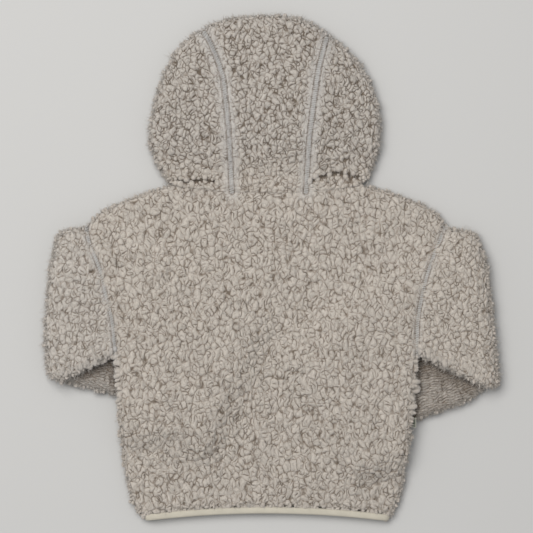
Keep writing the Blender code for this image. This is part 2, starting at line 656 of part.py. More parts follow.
def build_side_loop():
    """A short folded tape that stands out of the right side seam."""
    length, reach, thick = 12.0, 5.0, 1.8
    middle_y = -171.5
    root_x = edge_x("right", np.linspace(middle_y - length / 2, middle_y + length / 2, 5)).max()
    angle = np.linspace(-math.pi / 2, math.pi / 2, 7)
    profile_x = np.concatenate([[0.0], reach - thick / 2 + thick / 2 * np.cos(angle), [0.0]])
    profile_z = np.concatenate([[-thick / 2], thick / 2 * np.sin(angle), [thick / 2]])
    height = lift(np.array([root_x, middle_y])) + CLOTH + SEAM_GAP / 2
    rings = [
        np.column_stack([root_x + SEAM_GAP + profile_x, np.full(len(profile_x), middle_y + offset),
                         height + profile_z])
        for offset in np.linspace(-length / 2, length / 2, 4)
    ]
    ring_solid("side_loop", np.array(rings), LOOP_GREEN)


# ---------------------------------------------------------------- zip

TAPE_Z = 5.6                # middle of the zip's tapes above the surface
TAPE_THICK = 1.2
TEETH_GAP = 1.5             # from the middle line to a tape's edge
ZIP_TOP_Y = 54.0
SLIDER_Y = 42.0
SLIDER_LENGTH, SLIDER_WIDTH, PLATE = 11.0, 8.6, 1.0
PULL_PIVOT_Z = 2.6
PULL_LENGTH, PULL_WIDTH, PULL_THICK = 22.0, 5.0, 1.0


def box_mesh(shape, centre, size):
    """Adds a box to a bmesh, from its middle and its three sizes."""
    made = bmesh.ops.create_cube(shape, size=1.0)["verts"]
    for vertex in made:
        vertex.co = [(centre[k] + vertex.co[k] * size[k]) * MM for k in range(3)]


def joined_boxes(name, boxes, color, roughness, metallic, bevel=0.25):
    """One solid from overlapping boxes, with softened edges."""
    pieces = []
    for number, (centre, size) in enumerate(boxes):
        shape = bmesh.new()
        box_mesh(shape, centre, size)
        mesh = bpy.data.meshes.new(f"{name}_{number}")
        shape.to_mesh(mesh)
        shape.free()
        pieces.append(finish_object(f"{name}_{number}" if number else name, mesh, color, roughness, metallic))
    body, cutters = pieces[0], pieces[1:]
    for cutter in cutters:
        JACKET.objects.unlink(cutter)
        HELPERS.objects.link(cutter)
        cutter.hide_render = True
        cutter.display_type = "WIRE"
        union = body.modifiers.new("union", "BOOLEAN")
        union.operation = "UNION"
        union.object = cutter
    rounding = body.modifiers.new("soft_edges", "BEVEL")
    rounding.width = bevel * MM
    rounding.segments = 1
    rounding.limit_method = "ANGLE"
    return body


def build_zip():
    """Two tapes, the slider near the neck and its pull tab, which hangs on the slider's bridge towards the hem."""
    tape_width = ZIP_OPENING - SEAM_GAP - TEETH_GAP
    hem_low = float(hem_y(CENTRE_X)) + 1.0
    for name, sign in (("zip_tape_left", -1), ("zip_tape_right", 1)):
        centre = (CENTRE_X + sign * (TEETH_GAP + tape_width / 2), (hem_low + ZIP_TOP_Y) / 2, TAPE_Z)
        joined_boxes(name, [(centre, (tape_width, ZIP_TOP_Y - hem_low, TAPE_THICK))], TAPE_BEIGE, 0.8, 0.0)
    inner_z, outer_z = TAPE_Z + 1.7, TAPE_Z - 1.7
    bridge_z = PULL_PIVOT_Z - 1.2
    foot = (outer_z + bridge_z) / 2
    foot_height = outer_z - bridge_z
    joined_boxes("zip_slider", [
        ((CENTRE_X, SLIDER_Y, outer_z), (SLIDER_WIDTH, SLIDER_LENGTH, PLATE)),
        ((CENTRE_X, SLIDER_Y + 4.0, TAPE_Z), (1.8, 2.6, inner_z - outer_z)),
        ((CENTRE_X, SLIDER_Y, inner_z), (SLIDER_WIDTH, SLIDER_LENGTH, PLATE)),
        ((CENTRE_X, SLIDER_Y - 4.4, foot), (1.5, 1.2, foot_height)),
        ((CENTRE_X, SLIDER_Y + 4.4, foot), (1.5, 1.2, foot_height)),
        ((CENTRE_X, SLIDER_Y, bridge_z), (1.5, 10.0, 0.8)),
    ], ZIP_METAL, 0.35, 1.0, bevel=0.12)
    side_x = PULL_WIDTH / 2 - 0.6
    eye = 8.0
    joined_boxes("zip_pull", [
        ((CENTRE_X, SLIDER_Y - eye - (PULL_LENGTH - eye) / 2, PULL_PIVOT_Z), (PULL_WIDTH, PULL_LENGTH - eye, PULL_THICK)),
        ((CENTRE_X - side_x, SLIDER_Y - eye / 2, PULL_PIVOT_Z), (1.2, eye + 1.0, PULL_THICK)),
        ((CENTRE_X + side_x, SLIDER_Y - eye / 2, PULL_PIVOT_Z), (1.2, eye + 1.0, PULL_THICK)),
        ((CENTRE_X, SLIDER_Y, PULL_PIVOT_Z), (PULL_WIDTH, 1.0, PULL_THICK)),
    ], ZIP_METAL, 0.35, 1.0, bevel=0.12)


# ---------------------------------------------------------------- build

def empty_file():
    for item in list(bpy.data.objects):
        bpy.data.objects.remove(item, do_unlink=True)


def new_collection(name):
    group = bpy.data.collections.new(name)
    bpy.context.scene.collection.children.link(group)
    return group


empty_file()
JACKET = new_collection("sherpa_jacket")
HELPERS = new_collection("helpers")

build_back()
build_front("front_left", "left", -1)
build_front("front_right", "right", 1)
build_hood_side("hood_left", HOOD_LEFT, SEAM_LEFT, FACE_LEFT, -1)
build_hood_side("hood_right", HOOD_RIGHT, SEAM_RIGHT, FACE_RIGHT, 1)
build_hood_centre()
build_sleeve("sleeve_left", "left", ELBOW_LEFT, CUFF_LEFT, -1)
build_sleeve("sleeve_right", "right", ELBOW_RIGHT, CUFF_RIGHT, 1)
build_hem_binding()
build_cuff_binding("cuff_binding_left", ELBOW_LEFT, CUFF_LEFT)
build_cuff_binding("cuff_binding_right", ELBOW_RIGHT, CUFF_RIGHT)
build_hood_binding()
build_side_loop()
build_zip()
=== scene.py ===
# The looks of a child's sherpa jacket, laid face down: fleece shells with curled pile, flatlock seams, knit
# bindings and a zip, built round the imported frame. Sizes are in millimetres up to the step that makes each mesh.
import math

import bmesh
import bpy
import numpy as np
from mathutils import Euler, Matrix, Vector
from mathutils.bvhtree import BVHTree
from mathutils.kdtree import KDTree


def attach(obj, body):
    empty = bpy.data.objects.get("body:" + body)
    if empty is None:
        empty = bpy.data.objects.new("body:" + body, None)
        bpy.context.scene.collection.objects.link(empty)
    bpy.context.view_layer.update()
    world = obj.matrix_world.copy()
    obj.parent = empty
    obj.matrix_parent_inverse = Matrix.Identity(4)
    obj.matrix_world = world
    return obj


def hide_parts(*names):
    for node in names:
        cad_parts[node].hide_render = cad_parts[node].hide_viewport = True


mm = 0.001
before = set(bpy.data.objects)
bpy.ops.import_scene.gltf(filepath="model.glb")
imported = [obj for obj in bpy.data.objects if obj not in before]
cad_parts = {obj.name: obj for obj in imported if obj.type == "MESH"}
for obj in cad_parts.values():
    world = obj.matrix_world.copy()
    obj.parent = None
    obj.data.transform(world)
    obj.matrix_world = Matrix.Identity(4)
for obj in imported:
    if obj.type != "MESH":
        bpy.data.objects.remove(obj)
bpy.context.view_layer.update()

# The photograph's frame: a square view from straight above, its middle on the surface, its side in metres
photoView = {"middle": (-6.2, 2.7), "side": 597.0, "height": 2400.0, "sensor": 36.0}

# Fleece by node: its cut's flat size and area in metres, what it lies on, and how many pieces its pile has
fleecePieces = {
    "back_panel": {"flat": (0.402, 0.372), "area": 0.121, "restsOn": ["front_left", "front_right"], "parts": 2},
    "front_left": {"flat": (0.205, 0.372), "area": 0.060, "restsOn": ["sleeve_left"]},
    "front_right": {"flat": (0.200, 0.372), "area": 0.058, "restsOn": ["sleeve_right"]},
    "sleeve_left": {"flat": (0.330, 0.360), "area": 0.086, "restsOn": ["front_left"]},
    "sleeve_right": {"flat": (0.330, 0.360), "area": 0.090, "restsOn": ["front_right"]},
    "hood_centre": {"flat": (0.135, 0.290), "area": 0.025, "restsOn": ["hood_left", "hood_right"]},
    "hood_left": {"flat": (0.190, 0.230), "area": 0.026, "restsOn": ["back_panel"]},
    "hood_right": {"flat": (0.170, 0.230), "area": 0.023, "restsOn": ["back_panel"]},
}

# The pile, in millimetres: how fine its skin is, the curls' spacing, how far they are drawn out and swirled, how
# deep the creases between them go, and how it changes beside seams, on the hood and round the outline
pile = {
    "grain": 1.15, "underGrain": 2.3, "smoothing": 9,
    "cell": (7.0, 10.4, 7.0), "round": 1.22, "scatter": 0.85, "cellHigh": 0.7, "lean": 0.7, "cellTone": 0.9,
    "fineCurl": 9.0, "fineTurns": 75, "waves": 26, "unlike": 0.16, "swirl": 2.6, "swirlSize": 7.0,
    "shoulder": 2.3, "fineShoulder": 2.0,
    "depth": 2.1, "fineDepth": 1.5, "faintest": 0.45, "fineFaintest": 0.25, "reach": 0.6, "uneven": 0.3,
    "seamReach": 14.0, "armReach": 7.0, "seamDrop": 1.0, "sunk": 2.4, "hoodCurls": 1.05, "hoodDepth": 1.3,
    "rimUneven": 3.2,
}
lowest = 0.25  # nothing of the cloth or pile reaches lower

# Seams on the upper side, each a smooth line from the body outwards
seamLines = {
    "seam_hood_left": [(-45, 86), (-47, 128), (-49, 160), (-52, 190), (-56, 218), (-68, 250), (-76, 264)],
    "seam_hood_right": [(38, 86), (41, 137), (44, 166), (48, 196), (52, 222), (58, 247), (61, 258)],
    "seam_armhole_left": [(-175, -95), (-178, -60), (-185, -30), (-192, 0), (-204, 30), (-208, 47)],
    "seam_armhole_right": [(162, -95), (162, -60), (167, -30), (175, 0), (187, 30), (194, 47)],
}
flatlock = {"halfWidth": 2.7, "pitch": 2.45, "thread": 0.42, "rise": 0.5, "high": -0.35, "steps": 7}

# Edges from which the pile hangs over what lies below: petals of pile stand along them, pointing off them
sleeveEdges = {
    "sleeve_left": [(-174, -96), (-189, -104), (-206, -109), (-219, -113), (-229, -117), (-239, -119)],
    "sleeve_right": [(164, -94), (183, -102), (198, -107), (212, -111), (223, -117), (233, -123)],
}
bodyEdges = [(11, (-170, -150), (-175, -98), -1.0), (13, (156, -166), (163, -98), 1.0)]  # petals, ends, way out
neckLine = [(-62, 91), (-36, 87), (-6.5, 86), (22, 87), (48, 91)]

# Soft troughs (below 0) and ridges in the cloth: x, y, direction in degrees, length, width and height
clothFolds = [
    (-80, 180, 88, 110, 12, -2.2), (-22, 175, 92, 100, 7, -1.6), (73, 168, 90, 60, 8, -1.6),
    (98, 152, 80, 60, 8, -1.8), (-52, -225, 86, 60, 9, -1.8), (62, -235, 50, 60, 9, -1.8),
    (118, -170, 84, 60, 9, -1.4), (-95, -105, 45, 60, 9, -1.4), (-114, -165, 70, 110, 12, -1.5),
    (1, -160, 90, 80, 9, -1.2), (-36, -75, 88, 50, 8, -1.2), (-110, 75, 60, 40, 7, -1.0),
    (106, -80, 75, 60, 9, -1.3), (143, 38, 50, 60, 9, -1.2),
]

# Deep creases where the hood's lower edge lies over the body
hoodCreases = [
    [(-108, 99), (-94, 97), (-80, 99), (-62, 97)],
    [(42, 97), (58, 104), (74, 107), (88, 104), (99, 101)],
]


def eased(value):  # 0 to 1 with level ends
    value = np.clip(value, 0, 1)
    return value * value * (3 - 2 * value)


def bell(distance, width):
    return np.exp(-(distance / width) ** 2)


def unit(vectors):
    return vectors / np.maximum(np.linalg.norm(vectors, axis=-1, keepdims=True), 1e-9)


def smoothLine(points, count):
    # Catmull-Rom curve through the points, then evenly spaced along its length
    knots = np.array(points, float)
    before = np.vstack([2 * knots[0] - knots[1], knots[:-1]])
    after = np.vstack([knots[1:], 2 * knots[-1] - knots[-2]])
    slopes = (after - before) / 2
    t = np.linspace(0, 1, 20, endpoint=False)[None, :, None]
    start, end = knots[:-1, None], knots[1:, None]
    dense = ((2 * t**3 - 3 * t**2 + 1) * start + (t**3 - 2 * t**2 + t) * slopes[:-1, None]
             + (3 * t**2 - 2 * t**3) * end + (t**3 - t**2) * slopes[1:, None])
    dense = np.vstack([dense.reshape(-1, knots.shape[1]), knots[-1:]])
    steps = np.linalg.norm(np.diff(dense, axis=0), axis=1)
    run = np.concatenate([[0], np.cumsum(steps)])
    even = np.linspace(0, run[-1], count)
    return np.column_stack([np.interp(even, run, column) for column in dense.T])


def nearLine(points, line):
    # distance from each point to a line on the plan
    start, run = line[:-1], np.diff(line, axis=0)
    share = ((points[:, None] - start) * run).sum(2) / (run * run).sum(1)
    nearest = start + np.clip(share, 0, 1)[..., None] * run
    return np.linalg.norm(points[:, None] - nearest, axis=2).min(1)


foldShare = 0.8  # of a fold's height, what the cloth and the pile take


def foldHeight(points):
    # sum of bells across each fold's width that fade towards its ends, over the steps' soft feet
    height = fromGrid(points)
    for x, y, turn, long, wide, high in clothFolds:
        turn = math.radians(turn)
        offset = points[:, :2] - np.array([x, y])
        run = offset @ np.array([math.cos(turn), math.sin(turn)])
        side = offset @ np.array([-math.sin(turn), math.cos(turn)])
        height += high * eased(1.6 - np.abs(run) / (long / 2) * 1.2) * bell(side, wide)
    return height


def newObject(name, points, faces, material, body="jacket", smooth=True):
    # points in millimetres; faces are rows of equal length, or a list of such arrays
    mesh = bpy.data.meshes.new(name)
    groups = faces if isinstance(faces, list) else [faces]
    sizes = np.concatenate([np.full(len(group), group.shape[1]) for group in groups])
    corners = np.concatenate([group.ravel() for group in groups])
    mesh.vertices.add(len(points))
    mesh.vertices.foreach_set("co", (points * mm).astype(np.float32).ravel())
    mesh.loops.add(len(corners))
    mesh.loops.foreach_set("vertex_index", corners.astype(np.int32))
    mesh.polygons.add(len(sizes))
    starts = np.concatenate([[0], np.cumsum(sizes)[:-1]])
    mesh.polygons.foreach_set("loop_start", starts.astype(np.int32))
    mesh.update(calc_edges=True)
    mesh.validate()
    mesh.materials.append(material)
    if smooth:
        mesh.shade_smooth()
    piece = bpy.data.objects.new(name, mesh)
    bpy.context.scene.collection.objects.link(piece)
    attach(piece, body)
    return piece


def setValues(piece, **values):
    # one number or vector per vertex, for the material's Attribute nodes
    for name, numbers in values.items():
        numbers = np.asarray(numbers, np.float32)
        kind, field = ("FLOAT", "value") if numbers.ndim == 1 else ("FLOAT_VECTOR", "vector")
        attribute = piece.data.attributes.new(name, kind, "POINT")
        attribute.data.foreach_set(field, numbers.ravel())


def readField(items, field, size, kind=np.float32):
    # one field of all a mesh's points, faces or corners
    values = np.zeros(len(items) * size, kind)
    items.foreach_get(field, values)
    return values.reshape(-1, size) if size > 1 else values


def setUv(piece, uv):
    layer = piece.data.uv_layers.new(name="lay")
    corners = readField(piece.data.loops, "vertex_index", 1, np.int32)
    layer.uv.foreach_set("vector", uv[corners].astype(np.float32).ravel())


def nodeArrays(name):
    # a CAD node's points in millimetres and its triangles, with doubled points merged
    shape = bmesh.new()
    shape.from_mesh(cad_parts[name].data)
    bmesh.ops.remove_doubles(shape, verts=shape.verts, dist=2e-5)
    bmesh.ops.triangulate(shape, faces=shape.faces)
    mesh = bpy.data.meshes.new("merged")
    shape.to_mesh(mesh)
    shape.free()
    points = readField(mesh.vertices, "co", 3)
    corners = readField(mesh.polygons, "vertices", 3, np.int32)
    normals = readField(mesh.vertex_normals, "vector", 3)
    bpy.data.meshes.remove(mesh)
    return points / mm, corners, normals


solids = {name: nodeArrays(name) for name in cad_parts}


def joinedTree(names):
    points, faces, start = [], [], 0
    for name in names:
        points.append(solids[name][0])
        faces.append(solids[name][1] + start)
        start += len(solids[name][0])
    return BVHTree.FromPolygons(np.vstack(points).tolist(), np.vstack(faces).tolist())


everything = joinedTree(list(solids))


def clearAhead(points, normals, reach=16.0):
    # whether no outer face lies above each point within reach, looking out along its normal; a ray that starts
    # inside its own solid first passes out of it
    clear = np.ones(len(points), bool)
    for k, (start, way) in enumerate(zip(points.tolist(), normals.tolist())):
        way = Vector(way)
        place = Vector(start) + way * 0.7
        for _ in range(3):
            hit, normal, _, distance = everything.ray_cast(place, way, reach)
            if hit is None:
                break
            if normal.dot(way) < 0:
                clear[k] = False
                break
            place = hit + way * 0.05
    return clear


def dropOnto(plan, tree):
    # height of the highest surface under each plan point, and between its neighbours where there is none
    hits = [tree.ray_cast(Vector((x, y, 80.0)), Vector((0, 0, -1.0))) for x, y in plan]
    height = np.array([hit[0].z if hit[0] else np.nan for hit in hits])
    known = ~np.isnan(height)
    return np.interp(np.arange(len(height)), np.flatnonzero(known), height[known])


# The feet of the back's steps: the grid's size, how often it is blurred, how far they rise at most, and the lowest
# height that still counts as the back's upper side
stepSoftness = {"grid": 6.0, "times": 12, "most": 6.0, "floor": 8.0}


def blurred(grid, times):
    for _ in range(times):
        for axis in (0, 1):
            wide = np.pad(grid, [(1, 1) if axis == k else (0, 0) for k in (0, 1)], mode="edge")
            rows = np.swapaxes(wide, 0, axis)
            grid = np.swapaxes((rows[:-2] + 2 * rows[1:-1] + rows[2:]) / 4, 0, axis)
    return grid


def stepFeet():
    # the back lies softly over the tucked forearms: on a grid, how far the feet of its steps are raised
    size = stepSoftness["grid"]
    xs, ys = np.arange(-180, 181, size), np.arange(-276, 90, size)
    plan = np.stack(np.meshgrid(xs, ys, indexing="ij"), -1).reshape(-1, 2)
    backTree = joinedTree(["back_panel"])
    hits = [backTree.ray_cast(Vector((x, y, 80.0)), Vector((0, 0, -1.0)))[0] for x, y in plan]
    height = np.array([hit.z if hit else 0.0 for hit in hits]).reshape(len(xs), len(ys))
    inside = (height > stepSoftness["floor"]).astype(float)
    share = blurred(inside, stepSoftness["times"])
    soft = blurred(height * inside, stepSoftness["times"]) / np.maximum(share, 0.1)
    raised = np.clip((soft - height) * 1.2, 0, stepSoftness["most"]) * eased((share - 0.8) / 0.2)
    return xs, ys, blurred(raised * inside, 2)


feetX, feetY, feetHeight = stepFeet()


def fromGrid(points):
    # bilinear reading of the feet's grid
    across = np.clip((points[:, 0] - feetX[0]) / stepSoftness["grid"], 0, len(feetX) - 1.001)
    along = np.clip((points[:, 1] - feetY[0]) / stepSoftness["grid"], 0, len(feetY) - 1.001)
    i, j = across.astype(int), along.astype(int)
    a, b = across - i, along - j
    return (feetHeight[i, j] * (1 - a) * (1 - b) + feetHeight[i + 1, j] * a * (1 - b)
            + feetHeight[i, j + 1] * (1 - a) * b + feetHeight[i + 1, j + 1] * a * b) / foldShare


def newNode(tree, kind, inputs=None, **settings):
    node = tree.nodes.new(kind)
    for key, value in settings.items():
        setattr(node, key, value)
    for key, value in (inputs or {}).items():
        if isinstance(value, bpy.types.NodeSocket):
            tree.links.new(value, node.inputs[key])
        else:
            node.inputs[key].default_value = value
    return node


# Short forms of the commonest nodes, each returning its result's socket
def calc(tree, operation, *inputs):
    return newNode(tree, "ShaderNodeMath", dict(enumerate(inputs)), operation=operation).outputs[0]


def vectorCalc(tree, operation, *inputs):
    return newNode(tree, "ShaderNodeVectorMath", dict(enumerate(inputs)), operation=operation).outputs[0]


def scaled(tree, vector, factor):
    return newNode(tree, "ShaderNodeVectorMath", {0: vector, "Scale": factor}, operation="SCALE").outputs[0]


def ranged(tree, value, low, high, toLow, toHigh, **settings):
    inputs = dict(enumerate((value, low, high, toLow, toHigh)))
    return newNode(tree, "ShaderNodeMapRange", inputs, **settings).outputs[0]


def noise(tree, place, scale, detail, output=0):
    inputs = {"Vector": place, "Scale": scale, "Detail": detail}
    return newNode(tree, "ShaderNodeTexNoise", inputs).outputs[output]


def wave(tree, place, direction, **inputs):
    inputs["Vector"] = place
    return newNode(tree, "ShaderNodeTexWave", inputs, bands_direction=direction).outputs[1]


def objectPlace(tree):
    return newNode(tree, "ShaderNodeTexCoord").outputs["Object"]


def layPlace(tree):
    return newNode(tree, "ShaderNodeUVMap", uv_map="lay").outputs[0]


def bump(tree, strength, distance, height, **before):
    inputs = {"Strength": strength, "Distance": distance, "Height": height, **before}
    return newNode(tree, "ShaderNodeBump", inputs).outputs[0]


def ramp(tree, factor, stops):
    node = newNode(tree, "ShaderNodeValToRGB", {0: factor})
    elements = node.color_ramp.elements
    while len(elements) < len(stops):
        elements.new(0.5)
    for element, (place, color) in zip(elements, stops):
        element.position = place
        element.color = (*color, 1)
    return node.outputs[0]


def newGroup(name, inputs, outputs):
    # an empty node group: its given values' sockets, and those that take its results
    group = bpy.data.node_groups.new(name, "ShaderNodeTree")
    for label, value in inputs.items():
        socket = group.interface.new_socket(label, in_out="INPUT", socket_type="NodeSocketFloat")
        socket.default_value = value
    for label in outputs:
        group.interface.new_socket(label, in_out="OUTPUT", socket_type="NodeSocketFloat")
    return group, group.nodes.new("NodeGroupInput").outputs, group.nodes.new("NodeGroupOutput").inputs


def fibreGroup():
    # streaks along one direction: noise stretched by the UV map's two scales, 0 to 1
    group, given, made = newGroup("fibreStreaks", {"Across": 30.0, "Along": 5.0}, ["Streaks"])
    scale = newNode(group, "ShaderNodeCombineXYZ", {0: given["Across"], 1: given["Along"]}).outputs[0]
    place = vectorCalc(group, "MULTIPLY", layPlace(group), scale)
    group.links.new(noise(group, place, 1.0, 3.0), made["Streaks"])
    return group


def patchGroup():
    # soft uneven patches in the cloth's own coordinates, 0 to 1
    group, given, made = newGroup("softPatches", {"Size": 60.0}, ["Patches"])
    group.links.new(noise(group, objectPlace(group), given["Size"], 2.0), made["Patches"])
    return group


def lineGroup():
    # a soft line where a signed distance passes zero, as dark as its own depth: 1 in the line, 0 beside it;
    # the pile paints its creases darker by it, as shade
    group, given, made = newGroup("creaseLine", {"Distance": 0.0, "Width": 1.0, "Depth": 1.0}, ["Line"])
    apart = calc(group, "ABSOLUTE", given["Distance"])
    line = ranged(group, apart, 0.0, given["Width"], 1.0, 0.0, interpolation_type="SMOOTHSTEP")
    group.links.new(calc(group, "MULTIPLY", line, given["Depth"]), made["Line"])
    return group


def curlGroup():
    # creases inside a curl: thin lines where swirled soft noise passes its middle value, deep in some places and
    # faint in others; and the strands of fibre, which follow the curl's outline. Both from 0 in the crease to 1
    group, given, made = newGroup("curlCreases", {"Curls": 170.0, "Width": 0.07, "Ridges": 6.0},
                                  ["Creases", "Strands"])
    place = objectPlace(group)
    swirl = newNode(group, "ShaderNodeTexNoise", {"Vector": place, "Scale": 150.0, "Detail": 0.0}).outputs
    moved = vectorCalc(group, "MULTIPLY", swirl["Color"], (0.009, 0.009, 0.009))
    drawn = vectorCalc(group, "MULTIPLY", vectorCalc(group, "ADD", place, moved), (1.0, 0.6, 1.0))
    apart = calc(group, "ABSOLUTE", calc(group, "SUBTRACT", noise(group, drawn, given["Curls"], 0.0), 0.5))
    line = ranged(group, apart, 0.0, given["Width"], 0.0, 1.0, interpolation_type="SMOOTHSTEP")
    faint = ranged(group, noise(group, place, 140.0, 1.0), 0.38, 0.60, 0.0, 0.9)
    group.links.new(calc(group, "MAXIMUM", line, faint), made["Creases"])
    along = newNode(group, "ShaderNodeSeparateXYZ", {0: layPlace(group)}).outputs[0]
    phase = calc(group, "MULTIPLY_ADD", along, given["Ridges"], calc(group, "MULTIPLY", swirl[0], 2.2))
    group.links.new(calc(group, "ABSOLUTE", calc(group, "SINE", phase)), made["Strands"])
    return group


def knitGroup():
    # rows of small stitches: two sine waves multiplied along the UV map's two directions
    group, given, made = newGroup("knitRows", {"Ribs": 1.0, "Rows": 1.0}, ["Height"])
    parts = newNode(group, "ShaderNodeSeparateXYZ", {0: layPlace(group)}).outputs
    ribs = calc(group, "ABSOLUTE", calc(group, "SINE", calc(group, "MULTIPLY", parts[0], given["Ribs"])))
    rows = calc(group, "SINE", calc(group, "MULTIPLY", parts[1], given["Rows"]))
    height = calc(group, "MULTIPLY", ribs, calc(group, "MULTIPLY_ADD", rows, 0.25, 0.75))
    group.links.new(height, made["Height"])
    return group


fibreStreaks, softPatches, creaseLine = fibreGroup(), patchGroup(), lineGroup()
curlCreases, knitRows = curlGroup(), knitGroup()


def groupNode(tree, group, **inputs):
    return newNode(tree, "ShaderNodeGroup", inputs, node_tree=group).outputs


def newMaterial(name, roughness, **plain):
    # a material with its Principled shader; plain sets further numbers on the shader's own sockets
    material = bpy.data.materials.new(name)
    material.use_nodes = True
    shader = material.node_tree.nodes["Principled BSDF"]
    shader.inputs["Roughness"].default_value = roughness
    for key, value in plain.items():
        shader.inputs[key.replace("_", " ")].default_value = value
    return material, material.node_tree, shader


def linkShader(tree, shader, **sockets):
    for key, socket in sockets.items():
        tree.links.new(socket, shader.inputs[key.replace("_", " ")])


# The pile's colours by height: painted shade in the creases and lower on the curls, the fleece's own colour, and
# painted light on the tips; the crease lines' widths, with the wider painted shade beside them; and the tint that
# `cool` adds
sherpaColors = {"crease": (0.135, 0.104, 0.076), "root": (0.275, 0.234, 0.194), "body": (0.405, 0.364, 0.319),
                "tip": (0.485, 0.441, 0.391)}
sherpaStops = (0.0, 0.35, 0.7, 1.0)
sherpaLines = {"main": 0.95, "fine": 0.8, "shade": 2.2, "shadeDepth": 0.35}
sherpaTint = (-0.035, 0.0, 0.05)


def sherpaMaterial():
    # pile: curls parted by thin creases painted dark as shade, with softer painted shade beside, by the
    # skin's own distances to them; each patch a little different by `tone`; then the smaller creases, also
    # painted as shade, and the strands and fibre streaks inside a curl
    material, tree, shader = newMaterial("sherpa_pile", 0.92, Sheen_Weight=0.25, Sheen_Roughness=0.45,
                                         Subsurface_Weight=0.4, Subsurface_Scale=0.001,
                                         Subsurface_Radius=(1.0, 0.95, 0.9))
    value = {name: newNode(tree, "ShaderNodeAttribute", attribute_name=name).outputs["Fac"]
             for name in ("depth", "fine", "fineDepth", "rise", "tone", "cool")}
    place = newNode(tree, "ShaderNodeAttribute", attribute_name="place").outputs["Vector"]
    cells = newNode(tree, "ShaderNodeTexVoronoi", {"Vector": place, "Scale": 1.0, "Randomness": pile["scatter"]},
                    feature="DISTANCE_TO_EDGE")
    edge = calc(tree, "MULTIPLY", cells.outputs[0], pile["cell"][0])
    lines = []
    for name, distance, depth in (("main", edge, value["depth"]), ("fine", value["fine"], value["fineDepth"])):
        thin, wide = [groupNode(tree, creaseLine, Distance=distance, Width=sherpaLines[width], Depth=depth)[0]
                      for width in (name, "shade")]
        lines.append(calc(tree, "MAXIMUM", thin, calc(tree, "MULTIPLY", wide, sherpaLines["shadeDepth"])))
    # the curls' height less their crease lines, which the ramp paints as shade low down and as light on the tips
    high = calc(tree, "SUBTRACT", value["rise"], calc(tree, "MAXIMUM", *lines))
    streaks = groupNode(tree, fibreStreaks, Across=2.2, Along=2.0)[0]
    curls = groupNode(tree, curlCreases, Curls=240.0, Width=0.075, Ridges=2.0)
    # the inner creases paint shade, and a low `rise` paints deeper shade
    light = ranged(tree, value["tone"], 0.0, 1.0, 0.95, 1.04)
    for factor in (ranged(tree, curls["Creases"], 0.0, 1.0, 0.82, 1.02),
                   ranged(tree, curls["Strands"], 0.0, 0.5, 0.82, 1.04),
                   ranged(tree, streaks, 0.3, 0.7, 0.84, 1.08),
                   ranged(tree, value["rise"], -0.6, 0.05, 0.4, 1.0)):
        light = calc(tree, "MULTIPLY", light, factor)
    lit = scaled(tree, ramp(tree, high, list(zip(sherpaStops, sherpaColors.values()))), light)
    tint = vectorCalc(tree, "ADD", scaled(tree, sherpaTint, value["cool"]), (1.0, 1.0, 1.0))
    normal = {}
    for strength, distance, height in ((0.7, 0.0008, high), (0.4, 0.0005, curls["Creases"]),
                                       (0.4, 0.0005, curls["Strands"]), (0.3, 0.0004, streaks)):
        normal = {"Normal": bump(tree, strength, distance, height, **normal)}
    linkShader(tree, shader, Base_Color=vectorCalc(tree, "MULTIPLY", lit, tint), **normal)
    return material


def backingMaterial():
    # the cloth's knitted ground under the pile: small loops, with painted shade in the depths between them, browner
    material, tree, shader = newMaterial("sherpa_ground", 0.95)
    loops = newNode(tree, "ShaderNodeTexVoronoi", {"Vector": objectPlace(tree), "Scale": 620.0}).outputs["Distance"]
    color = ramp(tree, loops, [(0.0, (0.34, 0.295, 0.25)), (0.8, (0.22, 0.185, 0.15))])
    linkShader(tree, shader, Base_Color=color, Normal=bump(tree, 0.6, 0.0006, loops))
    return material


def knitMaterial(name, light, dark, ribs, rows, depth=0.0003):
    # fine knit: stitch rows along the UV map, with soft patches of wear
    material, tree, shader = newMaterial(name, 0.85, Sheen_Weight=0.15)
    knit = groupNode(tree, knitRows, Ribs=ribs, Rows=rows)[0]
    worn = ranged(tree, groupNode(tree, softPatches, Size=55.0)[0], 0.3, 0.7, 0.93, 1.05)
    color = scaled(tree, ramp(tree, knit, [(0.0, dark), (0.8, light)]), worn)
    linkShader(tree, shader, Base_Color=color, Normal=bump(tree, 0.8, depth, knit))
    return material


def tapeMaterial():
    # woven tape: fine rows across it times fine ribs along it, read in the object's own coordinates
    material, tree, shader = newMaterial("zip_tape_weave", 0.8, Sheen_Weight=0.1)
    place = objectPlace(tree)
    weave = calc(tree, "MULTIPLY", wave(tree, place, "Y", Scale=320.0, Distortion=0.6, Detail=1.0),
                 wave(tree, place, "X", Scale=420.0))
    color = ramp(tree, weave, [(0.0, (0.30, 0.265, 0.21)), (0.7, (0.46, 0.41, 0.33))])
    linkShader(tree, shader, Base_Color=color, Normal=bump(tree, 0.7, 0.0003, weave))
    return material


def loopMaterial():
    # dark ribbed tape with a pale rim, measured in from the right and lower sides of the box round the loop
    material, tree, shader = newMaterial("loop_tape_weave", 0.75, Sheen_Weight=0.1)
    low, high = solids["side_loop"][0].min(0) * mm, solids["side_loop"][0].max(0) * mm
    place = objectPlace(tree)
    parts = newNode(tree, "ShaderNodeSeparateXYZ", {0: place}).outputs
    inward = calc(tree, "MINIMUM", calc(tree, "SUBTRACT", float(high[0]), parts[0]),
                  calc(tree, "SUBTRACT", parts[1], float(low[1])))
    rim = ranged(tree, inward, 0.0006, 0.0011, 1.0, 0.0)
    ribs = wave(tree, place, "Y", Scale=260.0, Distortion=0.4)
    dark = ramp(tree, ribs, [(0.0, (0.045, 0.05, 0.038)), (0.8, (0.12, 0.13, 0.098))])
    color = newNode(tree, "ShaderNodeMix", {0: rim, 6: dark, 7: (0.46, 0.45, 0.38, 1)}, data_type="RGBA")
    linkShader(tree, shader, Base_Color=color.outputs[2], Normal=bump(tree, 0.6, 0.0003, ribs))
    return material


